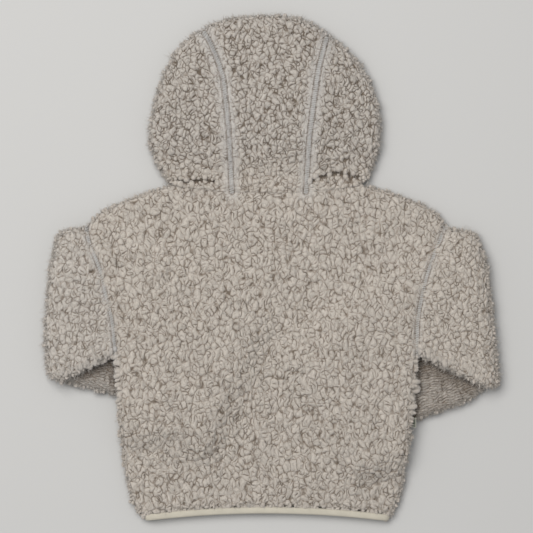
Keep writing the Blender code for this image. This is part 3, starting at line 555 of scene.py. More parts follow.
def metalMaterial():
    # worn dull metal: fine scratches change the roughness and the colour
    material, tree, shader = newMaterial("zip_dull_metal", 0.38, Metallic=1.0)
    marks = noise(tree, objectPlace(tree), 900.0, 4.0)
    color = ramp(tree, marks, [(0.3, (0.25, 0.24, 0.22)), (0.7, (0.40, 0.38, 0.35))])
    linkShader(tree, shader, Base_Color=color, Roughness=ranged(tree, marks, 0.0, 1.0, 0.25, 0.55))
    return material


sherpaPile, sherpaGround = sherpaMaterial(), backingMaterial()
creamKnit = knitMaterial("cream_binding_knit", (0.60, 0.56, 0.465), (0.42, 0.385, 0.31), 5.0, 4.0)
seamThread = knitMaterial("seam_thread", (0.52, 0.51, 0.49), (0.45, 0.44, 0.42), 9.0, 7.0, 0.0002)
loopTape, zipTape, zipMetal = loopMaterial(), tapeMaterial(), metalMaterial()
print("materials made")


# How far a shell's outer side is drawn in, at most as a share of the wall, and its inner side as a share of it
shell = {"inset": 3.2, "mostShare": 0.55, "innerShare": 0.12}


def clothShell(name):
    # the node's own form, finer, with its outer side drawn in by the pile's depth and folded like the cloth
    points, faces, normals = solids[name]
    tree = BVHTree.FromPolygons(points.tolist(), faces.tolist())
    back = [tree.ray_cast(Vector(p - n * 0.05), Vector(-n))[3] for p, n in zip(points, normals)]
    thick = np.array([distance if distance else 1.0 for distance in back])
    bare = clearAhead(points, normals)
    inset = np.where(bare, np.minimum(shell["inset"], thick * shell["mostShare"]), thick * shell["innerShare"])
    lift = np.where(bare & (normals[:, 2] > 0.3), foldHeight(points), 0)
    moved = points - normals * inset[:, None]
    moved[:, 2] += lift * foldShare
    piece = newObject(name + "_cloth", moved, faces, sherpaGround)
    finer = piece.modifiers.new("finer", "SUBSURF")
    finer.levels = finer.render_levels = 1
    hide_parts(name)
    return piece


shells = {name: clothShell(name) for name in fleecePieces}
print("cloth shells made")


seamPaths = {name: smoothLine(points, 60) for name, points in seamLines.items()}
halfWidths = {name: flatlock["halfWidth"] * (1.0 if "hood" in name else 0.75) for name in seamLines}
creasePaths = [smoothLine(points, 30) for points in hoodCreases]
neckPath = smoothLine(neckLine, 40)


def latticeNoise(points, seed):
    # gradient noise: every corner of a unit lattice has a random direction, blended smoothly; about -0.7 to 0.7
    rng = np.random.default_rng(seed)
    ways, order = unit(rng.normal(size=(256, 3))), rng.permutation(256)
    cells = np.floor(points).astype(int)
    inside = points - cells
    blend = inside**3 * (inside * (inside * 6 - 15) + 10)
    total = np.zeros(len(points))
    for corner in np.ndindex(2, 2, 2):
        x, y, z = (cells + corner).T & 255
        way = ways[order[(order[(order[x] + y) & 255] + z) & 255]]
        weight = np.prod(np.where(corner, blend, 1 - blend), axis=1)
        total += weight * ((inside - corner) * way).sum(1)
    return total


def creaseDistance(points, length, turns, seed, ahead=0):
    # signed distance to the nearest crease. Creases lie where a sum of sine waves of nearly one length passes zero,
    # so they wander, fork and end but keep their distance; the waves run across the cloth, or along it at ahead 90
    rng = np.random.default_rng(seed)
    count = pile["waves"]
    turn = np.radians(ahead + rng.normal(0, turns, count))
    waves = np.column_stack([np.cos(turn), np.sin(turn), rng.normal(0, 0.5, count)])
    waves *= 2 * math.pi / length * (1 + rng.normal(0, pile["unlike"], (count, 1)))
    phase = points @ waves.T + rng.uniform(0, 2 * math.pi, count)
    value, slope = np.sin(phase).sum(1), np.cos(phase) @ waves
    steep = np.linalg.norm(slope, axis=1)
    return value / np.maximum(steep, np.percentile(steep, 12))


def cellFields(places):
    # the scattered middles that part the pile into curls: for each place its curl's own middle and the next one's,
    # by the same Voronoi texture as in the pile's material
    mesh = bpy.data.meshes.new("places")
    mesh.vertices.add(len(places))
    mesh.vertices.foreach_set("co", places.ravel())
    piece = bpy.data.objects.new("places", mesh)
    bpy.context.scene.collection.objects.link(piece)
    group = bpy.data.node_groups.new("curlCells", "GeometryNodeTree")
    group.interface.new_socket("Geometry", in_out="INPUT", socket_type="NodeSocketGeometry")
    group.interface.new_socket("Geometry", in_out="OUTPUT", socket_type="NodeSocketGeometry")
    given, made = group.nodes.new("NodeGroupInput"), group.nodes.new("NodeGroupOutput")
    place = group.nodes.new("GeometryNodeInputPosition")
    shape = given.outputs[0]
    for name, feature in (("own", "F1"), ("next", "F2")):
        cells = newNode(group, "ShaderNodeTexVoronoi", {"Vector": place.outputs[0], "Scale": 1.0,
                                                        "Randomness": pile["scatter"]}, feature=feature)
        kept = newNode(group, "GeometryNodeStoreNamedAttribute", {"Geometry": shape, "Name": name}, domain="POINT",
                       data_type="FLOAT_VECTOR")
        group.links.new(cells.outputs["Position"], [socket for socket in kept.inputs
                                                    if socket.name == "Value" and socket.enabled][0])
        shape = kept.outputs[0]
    group.links.new(shape, made.inputs[0])
    piece.modifiers.new("cells", "NODES").node_group = group
    result = piece.evaluated_get(bpy.context.evaluated_depsgraph_get()).data
    fields = [readField(result.attributes[name].data, "vector", 3).astype(float) for name in ("own", "next")]
    bpy.data.objects.remove(piece)
    bpy.data.node_groups.remove(group)
    return fields


def cellChance(middles, seed):
    # one number from 0 to 1 for each cell, from its middle
    return np.modf(np.abs(np.sin(middles @ [12.9898, 78.233, 37.719] + seed) * 43758.5453))[0]


# the scattering is turned, so that its rows don't follow the cloth
cellTurn = np.array(Euler((0.5, 0.3, 0.45)).to_matrix())


def curlCells(spots, scale, rounder):
    # the pile's curls are cells around scattered middles, swirled and drawn out along the cloth: the place that the
    # material's Voronoi reads, the distance in millimetres to the crease round the curl, the way to it, the curl's
    # own height with a lean to one side, and its own tone
    size = pile["swirlSize"]
    shift = np.column_stack([latticeNoise(spots / size, 40 + axis)
                             + 0.35 * latticeNoise(spots / size * 2.3, 50 + axis) for axis in range(3)])
    stretch = np.array(pile["cell"])
    moved = spots + shift * pile["swirl"] * [1, 1, 0.5]
    moved = moved * np.column_stack([scale, scale * (1 + (pile["round"] - 1) * rounder), scale])
    places = moved / stretch @ cellTurn + 500
    own, other = cellFields(places)
    apart = np.linalg.norm(other - own, axis=1)
    edge = (((places - other) ** 2).sum(1) - ((places - own) ** 2).sum(1)) / (2 * np.maximum(apart, 1e-6))
    way = (other - own) / np.maximum(apart, 1e-6)[:, None]
    lean = np.column_stack([cellChance(own, k) for k in (1, 2, 3)]) - [0.5, 0.25, 0.5]
    height = (cellChance(own, 4) - 0.5) * pile["cellHigh"] + ((places - own) * lean).sum(1) * pile["lean"]
    toEdge = way @ cellTurn.T * stretch / scale[:, None] * edge[:, None]
    return places, edge * stretch[0] / scale, toEdge, height, cellChance(own, 5)


def besideLines(points, lines, upper):
    near = np.full(len(points), 1e9)
    for line in lines:
        some = upper & (points[:, :2] > line.min(0) - 15).all(1) & (points[:, :2] < line.max(0) + 15).all(1)
        near[some] = np.minimum(near[some], nearLine(points[some, :2], line))
    return near


def innerCreases(points, across):
    # distance to the creases inside the curls at swirled points; beside a seam they run across the cloth
    size = pile["swirlSize"]
    shift = np.column_stack([latticeNoise(points / size, 40 + axis) for axis in range(3)])
    moved = points + shift * pile["swirl"] * [1, 1, 0.5]
    fine = creaseDistance(moved, pile["fineCurl"], pile["fineTurns"], 62)
    turned = creaseDistance(moved, pile["fineCurl"], 22, 63, ahead=90)
    return fine * (1 - across) + turned * across


def roundShoulder(distance, width):
    # a parabola from the crease up to the curl's top
    share = np.clip(1 - np.abs(distance) / width, 0, 1)
    return 1 - share * share


def evenSkin(grain):
    # the outer side of all the fleece together as an even grid of small faces, so that the pile runs on across the
    # seams: its smoothed points and normals, and the faces
    parts = [solids[name][:2] for name in fleecePieces]
    starts = np.cumsum([0] + [len(points) for points, _ in parts[:-1]])
    piece = newObject("form", np.vstack([points for points, _ in parts]),
                      np.vstack([faces + start for (_, faces), start in zip(parts, starts)]), sherpaGround)
    even = piece.modifiers.new("even", "REMESH")
    even.mode, even.voxel_size = "VOXEL", grain * mm
    mesh = bpy.data.meshes.new_from_object(piece.evaluated_get(bpy.context.evaluated_depsgraph_get()))
    bpy.data.objects.remove(piece)
    spots = readField(mesh.vertices, "co", 3)
    ways = readField(mesh.vertex_normals, "vector", 3)
    corners = readField(mesh.loops, "vertex_index", 1, np.int32)
    assert len(corners) == 4 * len(mesh.polygons)
    bpy.data.meshes.remove(mesh)
    quads = corners.reshape(-1, 4)
    times = int(pile["smoothing"] / grain)
    spots = spread(spots.astype(float) / mm, quads, times)
    return spots, unit(spread(ways.astype(float), quads, times)), quads


def spread(values, quads, times):
    # each point's value averaged with its faces' values, a number of times
    flat = values.ndim == 1
    values = values[:, None] if flat else values
    share = np.bincount(quads.ravel(), minlength=len(values))
    for _ in range(times):
        middle = np.repeat(values[quads].mean(1), 4, axis=0)
        values = np.column_stack([np.bincount(quads.ravel(), column, len(values)) for column in middle.T])
        values = values / np.maximum(share, 1)[:, None]
    return values[:, 0] if flat else values


def keptPart(chosen, quads, *values):
    # only the chosen faces and their points
    quads = quads[chosen]
    used, places = np.unique(quads, return_inverse=True)
    return [places.reshape(-1, 4), *[value[used] for value in values]]


def ownNodes(spots):
    # which fleece node each point belongs to, by the nearest face
    names = list(fleecePieces)
    owners = np.concatenate([np.full(len(solids[name][1]), k) for k, name in enumerate(names)])
    tree = joinedTree(names)
    return owners[[tree.find_nearest(spot)[2] for spot in spots.tolist()]]


def sheltered(points, ways, rays=18):
    # share of the sky that other cloth hides from each point
    rng = np.random.default_rng(5)
    sky = unit(rng.normal(size=(rays, 3)))
    hidden = np.zeros(len(points))
    for k, (spot, way) in enumerate(zip(points, ways)):
        turned = unit(sky * np.sign(sky @ way)[:, None] + way * 0.4)
        start = Vector(spot + way * 1.2)
        hidden[k] = sum(everything.ray_cast(start, Vector(ray), 40.0)[0] is not None for ray in turned) / rays
    return hidden


def forearmStrands(spots, values, window):
    # on the forearms the pile is combed along the sleeve: long thin creases that follow it
    for sign, turn in ((-1, 80), (1, 110)):
        own = (window > 0.02) & (np.sign(spots[:, 0]) == sign)
        if not own.any():
            continue
        share = window[own]
        strand = creaseDistance(spots[own] + 900, 6.0, 24, 64, ahead=turn)
        values["fine"][own] = values["fine"][own] * (1 - share) + np.clip(strand, -3, 3) * share


def openShare(spots, ways, quads):
    # 1 on the cloth's open outer side, falling softly to 0 at its borders and under other cloth
    bare = clearAhead(spots, ways).astype(float)
    quads, spots, ways, bare = keptPart(bare[quads].max(1) > 0, quads, spots, ways, bare)
    edges = np.sort(np.concatenate([quads[:, [k, (k + 1) % 4]] for k in range(4)]), axis=1)
    each, count = np.unique(edges, axis=0, return_counts=True)
    bare[each[count == 1].ravel()] = 0
    return quads, spots, ways, eased(spread(bare, quads, 3) * 1.3 - 0.3)


# How far painted shade darkens the pile in the grooves, on the seams' bands, in the hood's creases and at the
# neck (each with its width) and on the forearms under the sleeves, and how much cooler it gets on the hood,
# the left sleeve and along the seams, and as painted shade on the forearms
pileShade = {
    "groove": 0.75, "band": 0.3, "crease": 0.95, "creaseWide": 2.6, "deep": 0.5, "deepWide": 1.8, "neck": 0.12,
    "neckWide": 2.2, "window": 0.06, "dim": 1.6, "dimFrom": 0.1, "dimMost": 0.94, "dark": 2.6, "darkFrom": 0.85,
    "darkest": 0.7,
    "coolHood": 0.35, "coolSleeve": 0.35, "coolSeam": 0.8, "coolWindow": 0.2,
}


def pileValues(spots, near, cellTone, fold):
    # the numbers that the material reads at each point, from what lies near it
    flat, band, window, onHood = near["flat"], near["band"], near["window"], near["onHood"]
    # painted shade on the forearms: the share of sky that other cloth hides from each point
    dim = np.zeros(len(spots))
    shady = window > 0.05
    dim[shady] = sheltered(spots[shady], near["ways"][shady]) * window[shady]
    share = pileShade
    # rise: painted shade in the hood's creases, the grooves and bands, on the forearms and at the neck
    rise = 1 - share["crease"] * bell(near["crease"], share["creaseWide"])
    rise *= (1 - share["groove"] * near["groove"]) * (1 - share["band"] * band)
    rise *= 1 - np.clip(dim * share["dim"] - share["dimFrom"], 0, share["dimMost"])
    rise -= share["window"] * window + share["darkest"] * np.clip(dim * share["dark"] - share["darkFrom"], 0, 1)
    rise -= share["deep"] * bell(near["crease"], share["deepWide"])
    rise -= share["neck"] * bell(near["neck"], share["neckWide"])
    tone = 0.5 + (cellTone - 0.5) * pile["cellTone"] * near["level"] + latticeNoise(spots / [7, 12, 7], 74) * 0.5
    # the folds' troughs are painted darker as shade, and the raised feet of the steps lighter as light
    tone += fold * 0.10 - 0.5 * onHood + 0.6 * flat
    leftSleeve = near["onSleeve"] & (spots[:, 0] < 0)
    cool = (share["coolHood"] * onHood + share["coolSleeve"] * leftSleeve + share["coolSeam"] * (flat + band)
            + share["coolWindow"] * window)
    return {"rise": rise, "tone": tone, "cool": cool}


def pileSkin(under):
    # a skin of curls with round shoulders, creased where they meet, over the fleece's open side, drawn down at its
    # borders; made as one and then shared out among the nodes
    step = pile["underGrain"] if under else pile["grain"]
    spots, ways, quads = evenSkin(step)
    facing = ways[quads, 2].mean(1)
    quads, spots, ways = keptPart(facing < -0.35 if under else facing > -0.55, quads, spots, ways)
    quads, spots, ways, bare = openShare(spots, ways, quads)
    owners = ownNodes(spots)
    names = np.array(list(fleecePieces))[owners]
    hoodNodes, onSleeve = np.char.startswith(names, "hood"), np.char.startswith(names, "sleeve")
    onHood = hoodNodes * eased((spots[:, 1] - 92) / 50)
    upper = ways[:, 2] > 0
    seamNear, armNear = [besideLines(spots, [seamPaths[name] for name in seamPaths if kind in name], upper)
                         for kind in ("hood", "armhole")]
    creaseNear, neckNear = besideLines(spots, creasePaths, upper), besideLines(spots, [neckPath], upper)
    covered = eased(0.75 + latticeNoise(spots / [9, 13, 9], 75) * 1.6)  # pile hides parts of the armholes' seams
    seamFlat = 1 - eased((seamNear - 2.5) / (pile["seamReach"] - 2.5))
    armFlat = (1 - eased((armNear - 2.0) / (pile["armReach"] - 2.0))) * covered
    across = np.maximum(1 - eased((np.minimum(seamNear, armNear + 1.5) - 4.0) / 5.0), 1 - eased((neckNear - 5) / 5))
    scale = 1 + (pile["hoodCurls"] - 1) * hoodNodes
    places, edge, toEdge, cellHigh, cellTone = curlCells(spots, scale, (names != "back_panel").astype(float))
    fine = innerCreases(spots * scale[:, None], across) / scale
    patch = spots / [4.5, 6.5, 4.5]
    depths = pile["faintest"] + (1 - pile["faintest"]) * eased(latticeNoise(patch, 71) * 1.8 + 0.5)
    fineDepths = pile["fineFaintest"] + (1 - pile["fineFaintest"]) * eased(latticeNoise(patch, 72) * 2.0 + 0.4)
    window = (onSleeve & (spots[:, 2] < 17.5) & (spots[:, 1] < -86) & (ways[:, 2] > 0.55)).astype(float)
    window = spread(window, quads, 4)
    flat = np.clip(seamFlat + armFlat, 0, 1)
    beside = np.minimum(seamNear, armNear + halfWidths["seam_hood_left"] - halfWidths["seam_armhole_left"])
    groove = bell(beside - flatlock["halfWidth"] - 0.3, 0.7) * flat
    band = (1 - eased((beside - flatlock["halfWidth"] + 0.6) / 0.8)) * flat
    level = (1 - 0.75 * flat) * (1 - 0.55 * window) * (1 - band)
    contrast = 1 + (pile["hoodDepth"] - 1) * np.maximum(onHood, window)
    depths = depths * (1 - 0.75 * flat) * contrast * (1 - 0.6 * window)
    fineDepths = fineDepths * (1 - 0.4 * flat) * contrast + 0.25 * window
    mainDrop = (1 - roundShoulder(edge, pile["shoulder"])) * pile["depth"] * depths * level
    fineDrop = (1 - roundShoulder(fine, pile["fineShoulder"])) * pile["fineDepth"] * fineDepths * level
    fold = spread(foldHeight(spots) * upper * ((names == "back_panel") | hoodNodes), quads, 2)
    sideways = 1 - np.abs(ways[:, 2])
    lift = pile["reach"] - np.maximum(mainDrop, fineDrop) + cellHigh * level
    lift += fold * foldShare - pile["seamDrop"] * flat - 0.5 * groove
    lift += latticeNoise(spots / 9, 73) * (pile["uneven"] + pile["rimUneven"] * sideways) * (1 - flat)
    lift -= 2.2 * bell(creaseNear, 2.2) + 0.8 * bell(neckNear, 2.5)
    lift = lift * bare - pile["sunk"] * (1 - bare)
    drawn = np.where(edge < step * 0.5, 1, 0)[:, None] * toEdge * bare[:, None]
    points = spots + drawn + ways * lift[:, None]
    points[:, 2] = np.maximum(points[:, 2], lowest)
    near = {"ways": ways, "flat": flat, "band": band, "groove": groove, "window": window, "level": level,
            "onHood": onHood, "onSleeve": onSleeve, "crease": creaseNear, "neck": neckNear}
    values = {"place": places, "depth": depths * bare, "fine": np.clip(fine, -3, 3),
              "fineDepth": np.clip(fineDepths, 0, 1.2) * bare * (1 - band),
              **pileValues(spots, near, cellTone, fold)}
    forearmStrands(spots, values, window)
    lay = np.column_stack([edge + fine * 0.3, spots[:, 1]])
    faceOwners = owners[quads[:, 0]]
    for k, name in enumerate(fleecePieces):
        parts = 1 if under else fleecePieces[name].get("parts", 1)
        bounds = np.quantile(spots[quads[faceOwners == k, 0], 0], np.arange(1, parts) / parts)
        stripes = np.searchsorted(bounds, spots[quads[:, 0], 0])
        for part in range(parts):
            own, place, uv, *parted = keptPart((faceOwners == k) & (stripes == part), quads, points, lay,
                                               *values.values())
            label = "_under" if under else f"_{part + 1}" if parts > 1 else ""
            piece = newObject(f"{name}_pile{label}", place, own, sherpaPile)
            setValues(piece, **dict(zip(values, parted)))
            setUv(piece, uv)
            piles[name].append(piece)
            print("pile on", name, label, len(own) * 2, "triangles")
    return {"spots": spots, "ways": ways, "points": points, "quads": quads, "open": bare, "owners": owners,
            "tone": values["tone"], "cool": values["cool"], "flat": flat, "window": window}


piles = {name: [] for name in fleecePieces}
skin = pileSkin(False)
pileSkin(True)
skinTree = BVHTree.FromPolygons(skin["spots"].tolist(), skin["quads"].tolist())


def thinned(points, size, rng):
    # one point, picked by chance, from each cell of a grid
    order = rng.permutation(len(points))
    _, first = np.unique(np.floor(points[order] / size).astype(int), axis=0, return_index=True)
    return order[first]


petal = {"around": 6, "rings": (0.07, 0.34, 0.66, 0.93)}


def petalShapes(roots, ahead, up, size):
    # small rounded tongues of pile, wider towards the tip, which droops: size is length, width and thickness
    side = np.cross(ahead, up)
    length, width, thick = size.T[:, :, None]
    points, rises = [roots - ahead * length * 0.4], [np.full((len(roots), 1), 0.3)]
    turn = np.linspace(0, 2 * math.pi, petal["around"], endpoint=False)
    for t in petal["rings"]:
        wide = math.sqrt(1 - (2 * t - 1) ** 2) * (0.75 + 0.4 * t) / 2
        middle = roots + ahead * length * (t - 0.4) - up * length * 0.16 * t * t
        ring = (middle[:, None] + side[:, None] * (width * wide)[:, None] * np.cos(turn)[:, None]
                + up[:, None] * (thick * wide)[:, None] * np.sin(turn)[:, None])
        points.append(ring)
        # rise paints shade at the root and light towards the tip and on the upper side
        rises.append(np.tile(0.55 + 0.45 * t + 0.12 * np.sin(turn), (len(roots), 1)))
    points.append(roots + ahead * length * 0.6 - up * length * 0.16)
    rises.append(np.full((len(roots), 1), 0.95))
    points = np.concatenate([part[:, None] if part.ndim == 2 else part for part in points], axis=1)
    return points, np.concatenate(rises, axis=1)


def ringFaces(around, rings, first=0):
    # quads between rings of points that are numbered on from ring to ring
    j = first + np.arange(around)
    k = np.roll(j, -1)
    return np.concatenate([np.column_stack([j, k, k + around, j + around]) + r * around for r in range(rings - 1)])


def repeated(faces, count, each):
    # the same faces for each of count shapes of `each` points
    return (faces[None] + np.arange(count)[:, None, None] * each).reshape(-1, faces.shape[1])


def petalFaces(count):
    around, rings = petal["around"], len(petal["rings"])
    tip = 1 + around * rings
    j = 1 + np.arange(around)
    k = np.roll(j, -1)
    ends = np.concatenate([np.column_stack([0 * j, k, j]),
                           np.column_stack([0 * j + tip, tip - 1 - around + j, tip - 1 - around + k])])
    return [repeated(ends, count, tip + 1), repeated(ringFaces(around, rings, 1), count, tip + 1)]


def wispShapes(roots, ahead, bend, length, thick):
    # tapered three-sided hairs that curve as they rise: two rings above the root's, then a tip
    side = unit(np.cross(ahead, bend + [0.01, 0.02, 0.03]))
    up = np.cross(side, ahead)
    rings = []
    for t in (0.0, 0.4, 0.75):
        middle = roots + ahead * (length * t)[:, None] + bend * (length * t * t * 0.6)[:, None]
        radius = (thick * (1 - 0.75 * t))[:, None]
        rings += [middle + (side * math.cos(turn) + up * math.sin(turn)) * radius
                  for turn in (0, 2 * math.pi / 3, 4 * math.pi / 3)]
    rings.append(roots + ahead * length[:, None] + bend * (length * 0.6)[:, None])
    # rise paints shade at the root
    return np.stack(rings, axis=1), np.tile([0.5] * 3 + [0.85] * 3 + [1.0] * 4, (len(roots), 1))


def wispFaces(count):
    ends = np.array([[6, 7, 9], [7, 8, 9], [8, 6, 9], [2, 1, 0]])
    return [repeated(ringFaces(3, 3), count, 10), repeated(ends, count, 10)]


tufts = {"petalGap": 5.0, "petal": (5.0, 3.4, 2.0), "edgePetal": (9.0, 5.4, 3.6), "ball": (6.5, 6.5, 5.5),
         "hemPetal": (6.5, 5.0, 3.4), "rimGap": 1.8, "wispGap": 7.5, "windowGap": 2.0, "wisp": 5.6, "thick": 0.34,
         "leftShade": 0.32, "rightShade": 0.42}


def nearestOnSkin(plan):
    # the skin's highest point near each plan point
    tree = KDTree(len(skin["spots"]))
    for k, spot in enumerate(skin["spots"]):
        tree.insert((spot[0], spot[1], 0), k)
    tree.balance()
    found = []
    for x, y in plan:
        near = [item[1] for item in tree.find_n((x, y, 0), 12)]
        found.append(max(near, key=lambda k: skin["spots"][k, 2]))
    return np.array(found)


def hangingPlaces(rng):
    # petals along the edges that hang over other cloth: where they stand, the way they point and their size
    rows = []
    for name, line in sleeveEdges.items():
        path = smoothLine(line, 16)
        off = np.tile([0.12 if name == "sleeve_left" else -0.12, -1.0], (len(path), 1))
        rows.append((path + off * rng.uniform(-3.5, -1.0, (len(path), 1)), off, "edgePetal"))
        rows.append((path + off * -6.0 + rng.normal(0, 1.0, path.shape), off, "edgePetal"))
    for line in hoodCreases:
        path = smoothLine(line, 8)
        off = np.tile([0.0, -1.0], (len(path), 1))
        rows.append((path + [0, 3.4] + rng.normal(0, 0.6, path.shape), off, "ball"))
        rows.append((path - [0, 3.0] + rng.normal(0, 0.6, path.shape), off * -1, "ball"))
    for count, low, high, outward in bodyEdges:
        path = smoothLine([low, high], count)
        off = np.tile([outward, -0.35], (count, 1))
        rows.append((path - off * 2.0, off, "edgePetal"))
    hem = np.linspace(-143, 131, 84)
    height = -283.3 + 8.8 * (1 - ((hem + 6.5) / 138) ** 2) + 6.0  # the binding's own bow
    off = np.column_stack([rng.normal(0, 0.2, len(hem)), np.full(len(hem), -1.0)])
    for above in (0.6, 3.0):
        place = [hem + rng.normal(0, 1.2, len(hem)), height + above + rng.normal(0, 0.9, len(hem))]
        rows.append((np.column_stack(place), off, "hemPetal"))
    plan = np.vstack([row[0] for row in rows])
    plan += rng.normal(0, 0.9, plan.shape)
    ahead = unit(np.vstack([row[1] for row in rows]) + rng.normal(0, 0.4, plan.shape))
    size = np.vstack([np.tile(tufts[row[2]], (len(row[0]), 1)) for row in rows])
    return nearestOnSkin(plan), plan, ahead, size


def standingPetals(rng, rim):
    # petals along the hanging edges and, smaller and painted darker as shade, all round the outline
    hanging, plan, ahead, size = hangingPlaces(rng)
    outline = rim[thinned(skin["points"][rim], tufts["petalGap"], rng)]
    chosen = np.concatenate([hanging, outline])
    roots = skin["points"][chosen]
    roots[:len(plan), :2] = plan
    outward = skin["ways"][outline] + rng.normal(0, 0.5, (len(outline), 3)) + [0, -0.35, 0.2]
    ahead = unit(np.vstack([np.column_stack([ahead, np.full(len(plan), -0.12)]), outward]))
    size = np.vstack([size, np.tile(tufts["petal"], (len(outline), 1))])
    up = skin["ways"][chosen] * 0.3 + [0, 0, 1.0]
    up = unit(up - ahead * (up * ahead).sum(1, keepdims=True))
    size = size * rng.uniform(0.55, 1.35, (len(size), 1)) * rng.uniform(0.8, 1.2, size.shape)
    petals, rise = petalShapes(roots, ahead, up, size)
    # the outline's petals painted darker as shade
    rise[len(plan):] *= 0.8
    return chosen, petals, rise


def standingWisps(rng, rim, bare):
    # hairs: dense on the outline, sparse and hanging on top, and combed outwards on the forearms
    spots, ways, points = skin["spots"], skin["ways"], skin["points"]
    near = rim[thinned(points[rim], tufts["rimGap"], rng)]
    over = np.flatnonzero(bare & (ways[:, 2] > 0.4) & (skin["flat"] < 0.5))
    over = over[thinned(points[over], tufts["wispGap"], rng)]
    inner = np.flatnonzero(skin["window"] > 0.3)
    inner = inner[thinned(points[inner], tufts["windowGap"], rng)]
    hairs = np.concatenate([near, over, inner])
    down, combing = np.repeat([[0.5, 1.6, 0.0], [0.0, 0.0, 2.2]], [len(near), len(over), len(inner)], axis=1)
    combed = np.column_stack([combing * np.sign(spots[hairs, 0]), combing * 0.35 - down, np.zeros(len(hairs))])
    way = unit(ways[hairs] + combed + rng.normal(0, 0.45, (len(hairs), 3)))
    bend = rng.normal(0, 0.5, (len(hairs), 3)) + ways[hairs] * 0.1
    length = tufts["wisp"] * rng.uniform(0.4, 1.2, len(hairs))
    thick = tufts["thick"] * rng.uniform(0.6, 1.3, len(hairs))
    return hairs, *wispShapes(points[hairs] - ways[hairs] * 0.3, way, bend, length, thick)


def tuftPieces():
    # petals and wisps over the skin, one piece for each node
    rng = np.random.default_rng(17)
    bare = (skin["open"] > 0.9) & (skin["spots"][:, 2] > 3.0)
    rim = np.flatnonzero(bare & (np.abs(skin["ways"][:, 2]) < 0.55))
    chosen, petals, petalRise = standingPetals(rng, rim)
    hairs, wisps, wispRise = standingWisps(rng, rim, bare)
    for k, name in enumerate(fleecePieces):
        ownPetals, ownWisps = skin["owners"][chosen] == k, skin["owners"][hairs] == k
        first, second = petals[ownPetals], wisps[ownWisps]
        start = first.shape[0] * first.shape[1]
        faces = petalFaces(len(first)) + [part + start for part in wispFaces(len(second))]
        every = np.vstack([first.reshape(-1, 3), second.reshape(-1, 3)])
        every[:, 2] = np.maximum(every[:, 2], lowest)
        piece = newObject(name + "_tufts", every, faces, sherpaPile)
        rise = np.concatenate([petalRise[ownPetals].ravel(), wispRise[ownWisps].ravel()])
        index = np.concatenate([np.repeat(chosen[ownPetals], first.shape[1]),
                                np.repeat(hairs[ownWisps], second.shape[1])])
        # on the forearms the tufts are painted darker as shade, by a share for each side
        darker = np.where(every[:, 0] < 0, tufts["leftShade"], tufts["rightShade"])
        none = np.zeros(len(every))
        setValues(piece, place=np.zeros((len(every), 3)), depth=none, fine=none + 3, fineDepth=none,
                  rise=rise * (1 - darker * skin["window"][index]), tone=skin["tone"][index] + 0.15,
                  cool=skin["cool"][index])
        setUv(piece, every[:, :2])
        piles[name].append(piece)
        print("tufts on", name, sum(len(part) * (part.shape[1] - 2) for part in faces), "triangles")


tuftPieces()


def seamFrame(line):
    # a line laid on the skin: its points, and the ways along it, across it and up
    height = dropOnto(line, skinTree)
    kernel = np.ones(9) / 9
    height = np.convolve(np.pad(height, 4, mode="edge"), kernel, mode="valid")
    path = np.column_stack([line, height])
    tangent = unit(np.gradient(path, axis=0))
    across = unit(np.cross(tangent, [0, 0, 1.0]))
    return path, tangent, across, np.cross(across, tangent)


def tubeAlong(paths, across, up, radius, corners):
    # rings of a round thread: centre + radius (across cos t + up sin t); paths is (thread, step, xyz)
    turn = np.linspace(0, 2 * math.pi, corners, endpoint=False)
    rings = (paths[:, :, None] + radius * (across[:, :, None] * np.cos(turn)[:, None]
                                           + up[:, :, None] * np.sin(turn)[:, None]))
    threads, steps = paths.shape[:2]
    each = steps * corners
    j = np.arange(corners)
    ends = np.stack([j, each - 1 - j])
    quads = ringFaces(corners, steps)[:, [0, 3, 2, 1]]
    return rings.reshape(-1, 3), repeated(quads, threads, each), repeated(ends, threads, each)


def flatlockSeam(name, line):
    # a ladder of crossing threads over a low band of cloth between two grooves
    step = flatlock["pitch"]
    total = np.linalg.norm(np.diff(line, axis=0), axis=1).sum()
    count = int(total / step)
    even = smoothLine(line, count)
    path, tangent, across, up = seamFrame(even)
    path = path + up * flatlock["high"]
    half = halfWidths[name]
    places = np.linspace(-1, 1, flatlock["steps"])
    bow = (1 - places**2)[None, :, None] * flatlock["rise"]
    slant = tangent[:, None] * places[None, :, None] * step * 0.35
    rungs = path[:, None] + across[:, None] * places[None, :, None] * half + up[:, None] * bow + slant
    points, quads, ends = tubeAlong(rungs, np.broadcast_to(tangent[:, None], rungs.shape),
                                    np.broadcast_to(up[:, None], rungs.shape), flatlock["thread"], 5)
    piece = newObject(name, points, [quads, ends], seamThread)
    setUv(piece, points[:, :2])


for name, line in seamPaths.items():
    flatlockSeam(name, line)
print("seams sewn")


def finerCopy(name, newName, material):
    # the node's own form, drawn in a little and made finer
    points, faces, normals = solids[name]
    piece = newObject(newName, points - normals * 0.1, faces, material)
    finer = piece.modifiers.new("finer", "SUBSURF")
    finer.levels = finer.render_levels = 2
    setUv(piece, points[:, :2])
    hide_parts(name)
    return piece


for name in ("hem_binding", "cuff_binding_left", "cuff_binding_right", "hood_binding"):
    finerCopy(name, name + "_knit", creamKnit)
finerCopy("side_loop", "side_loop_tape", loopTape)
for name, material in (("zip_tape_left", zipTape), ("zip_tape_right", zipTape), ("zip_slider", zipMetal),
                       ("zip_pull", zipMetal)):
    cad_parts[name].data.materials.clear()
    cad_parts[name].data.materials.append(material)
print("bindings made")


teeth = {"pitch": 2.6, "wide": 1.15, "thick": 2.4, "past": 0.8, "back": 2.9, "middle": -6.5, "height": 5.6}


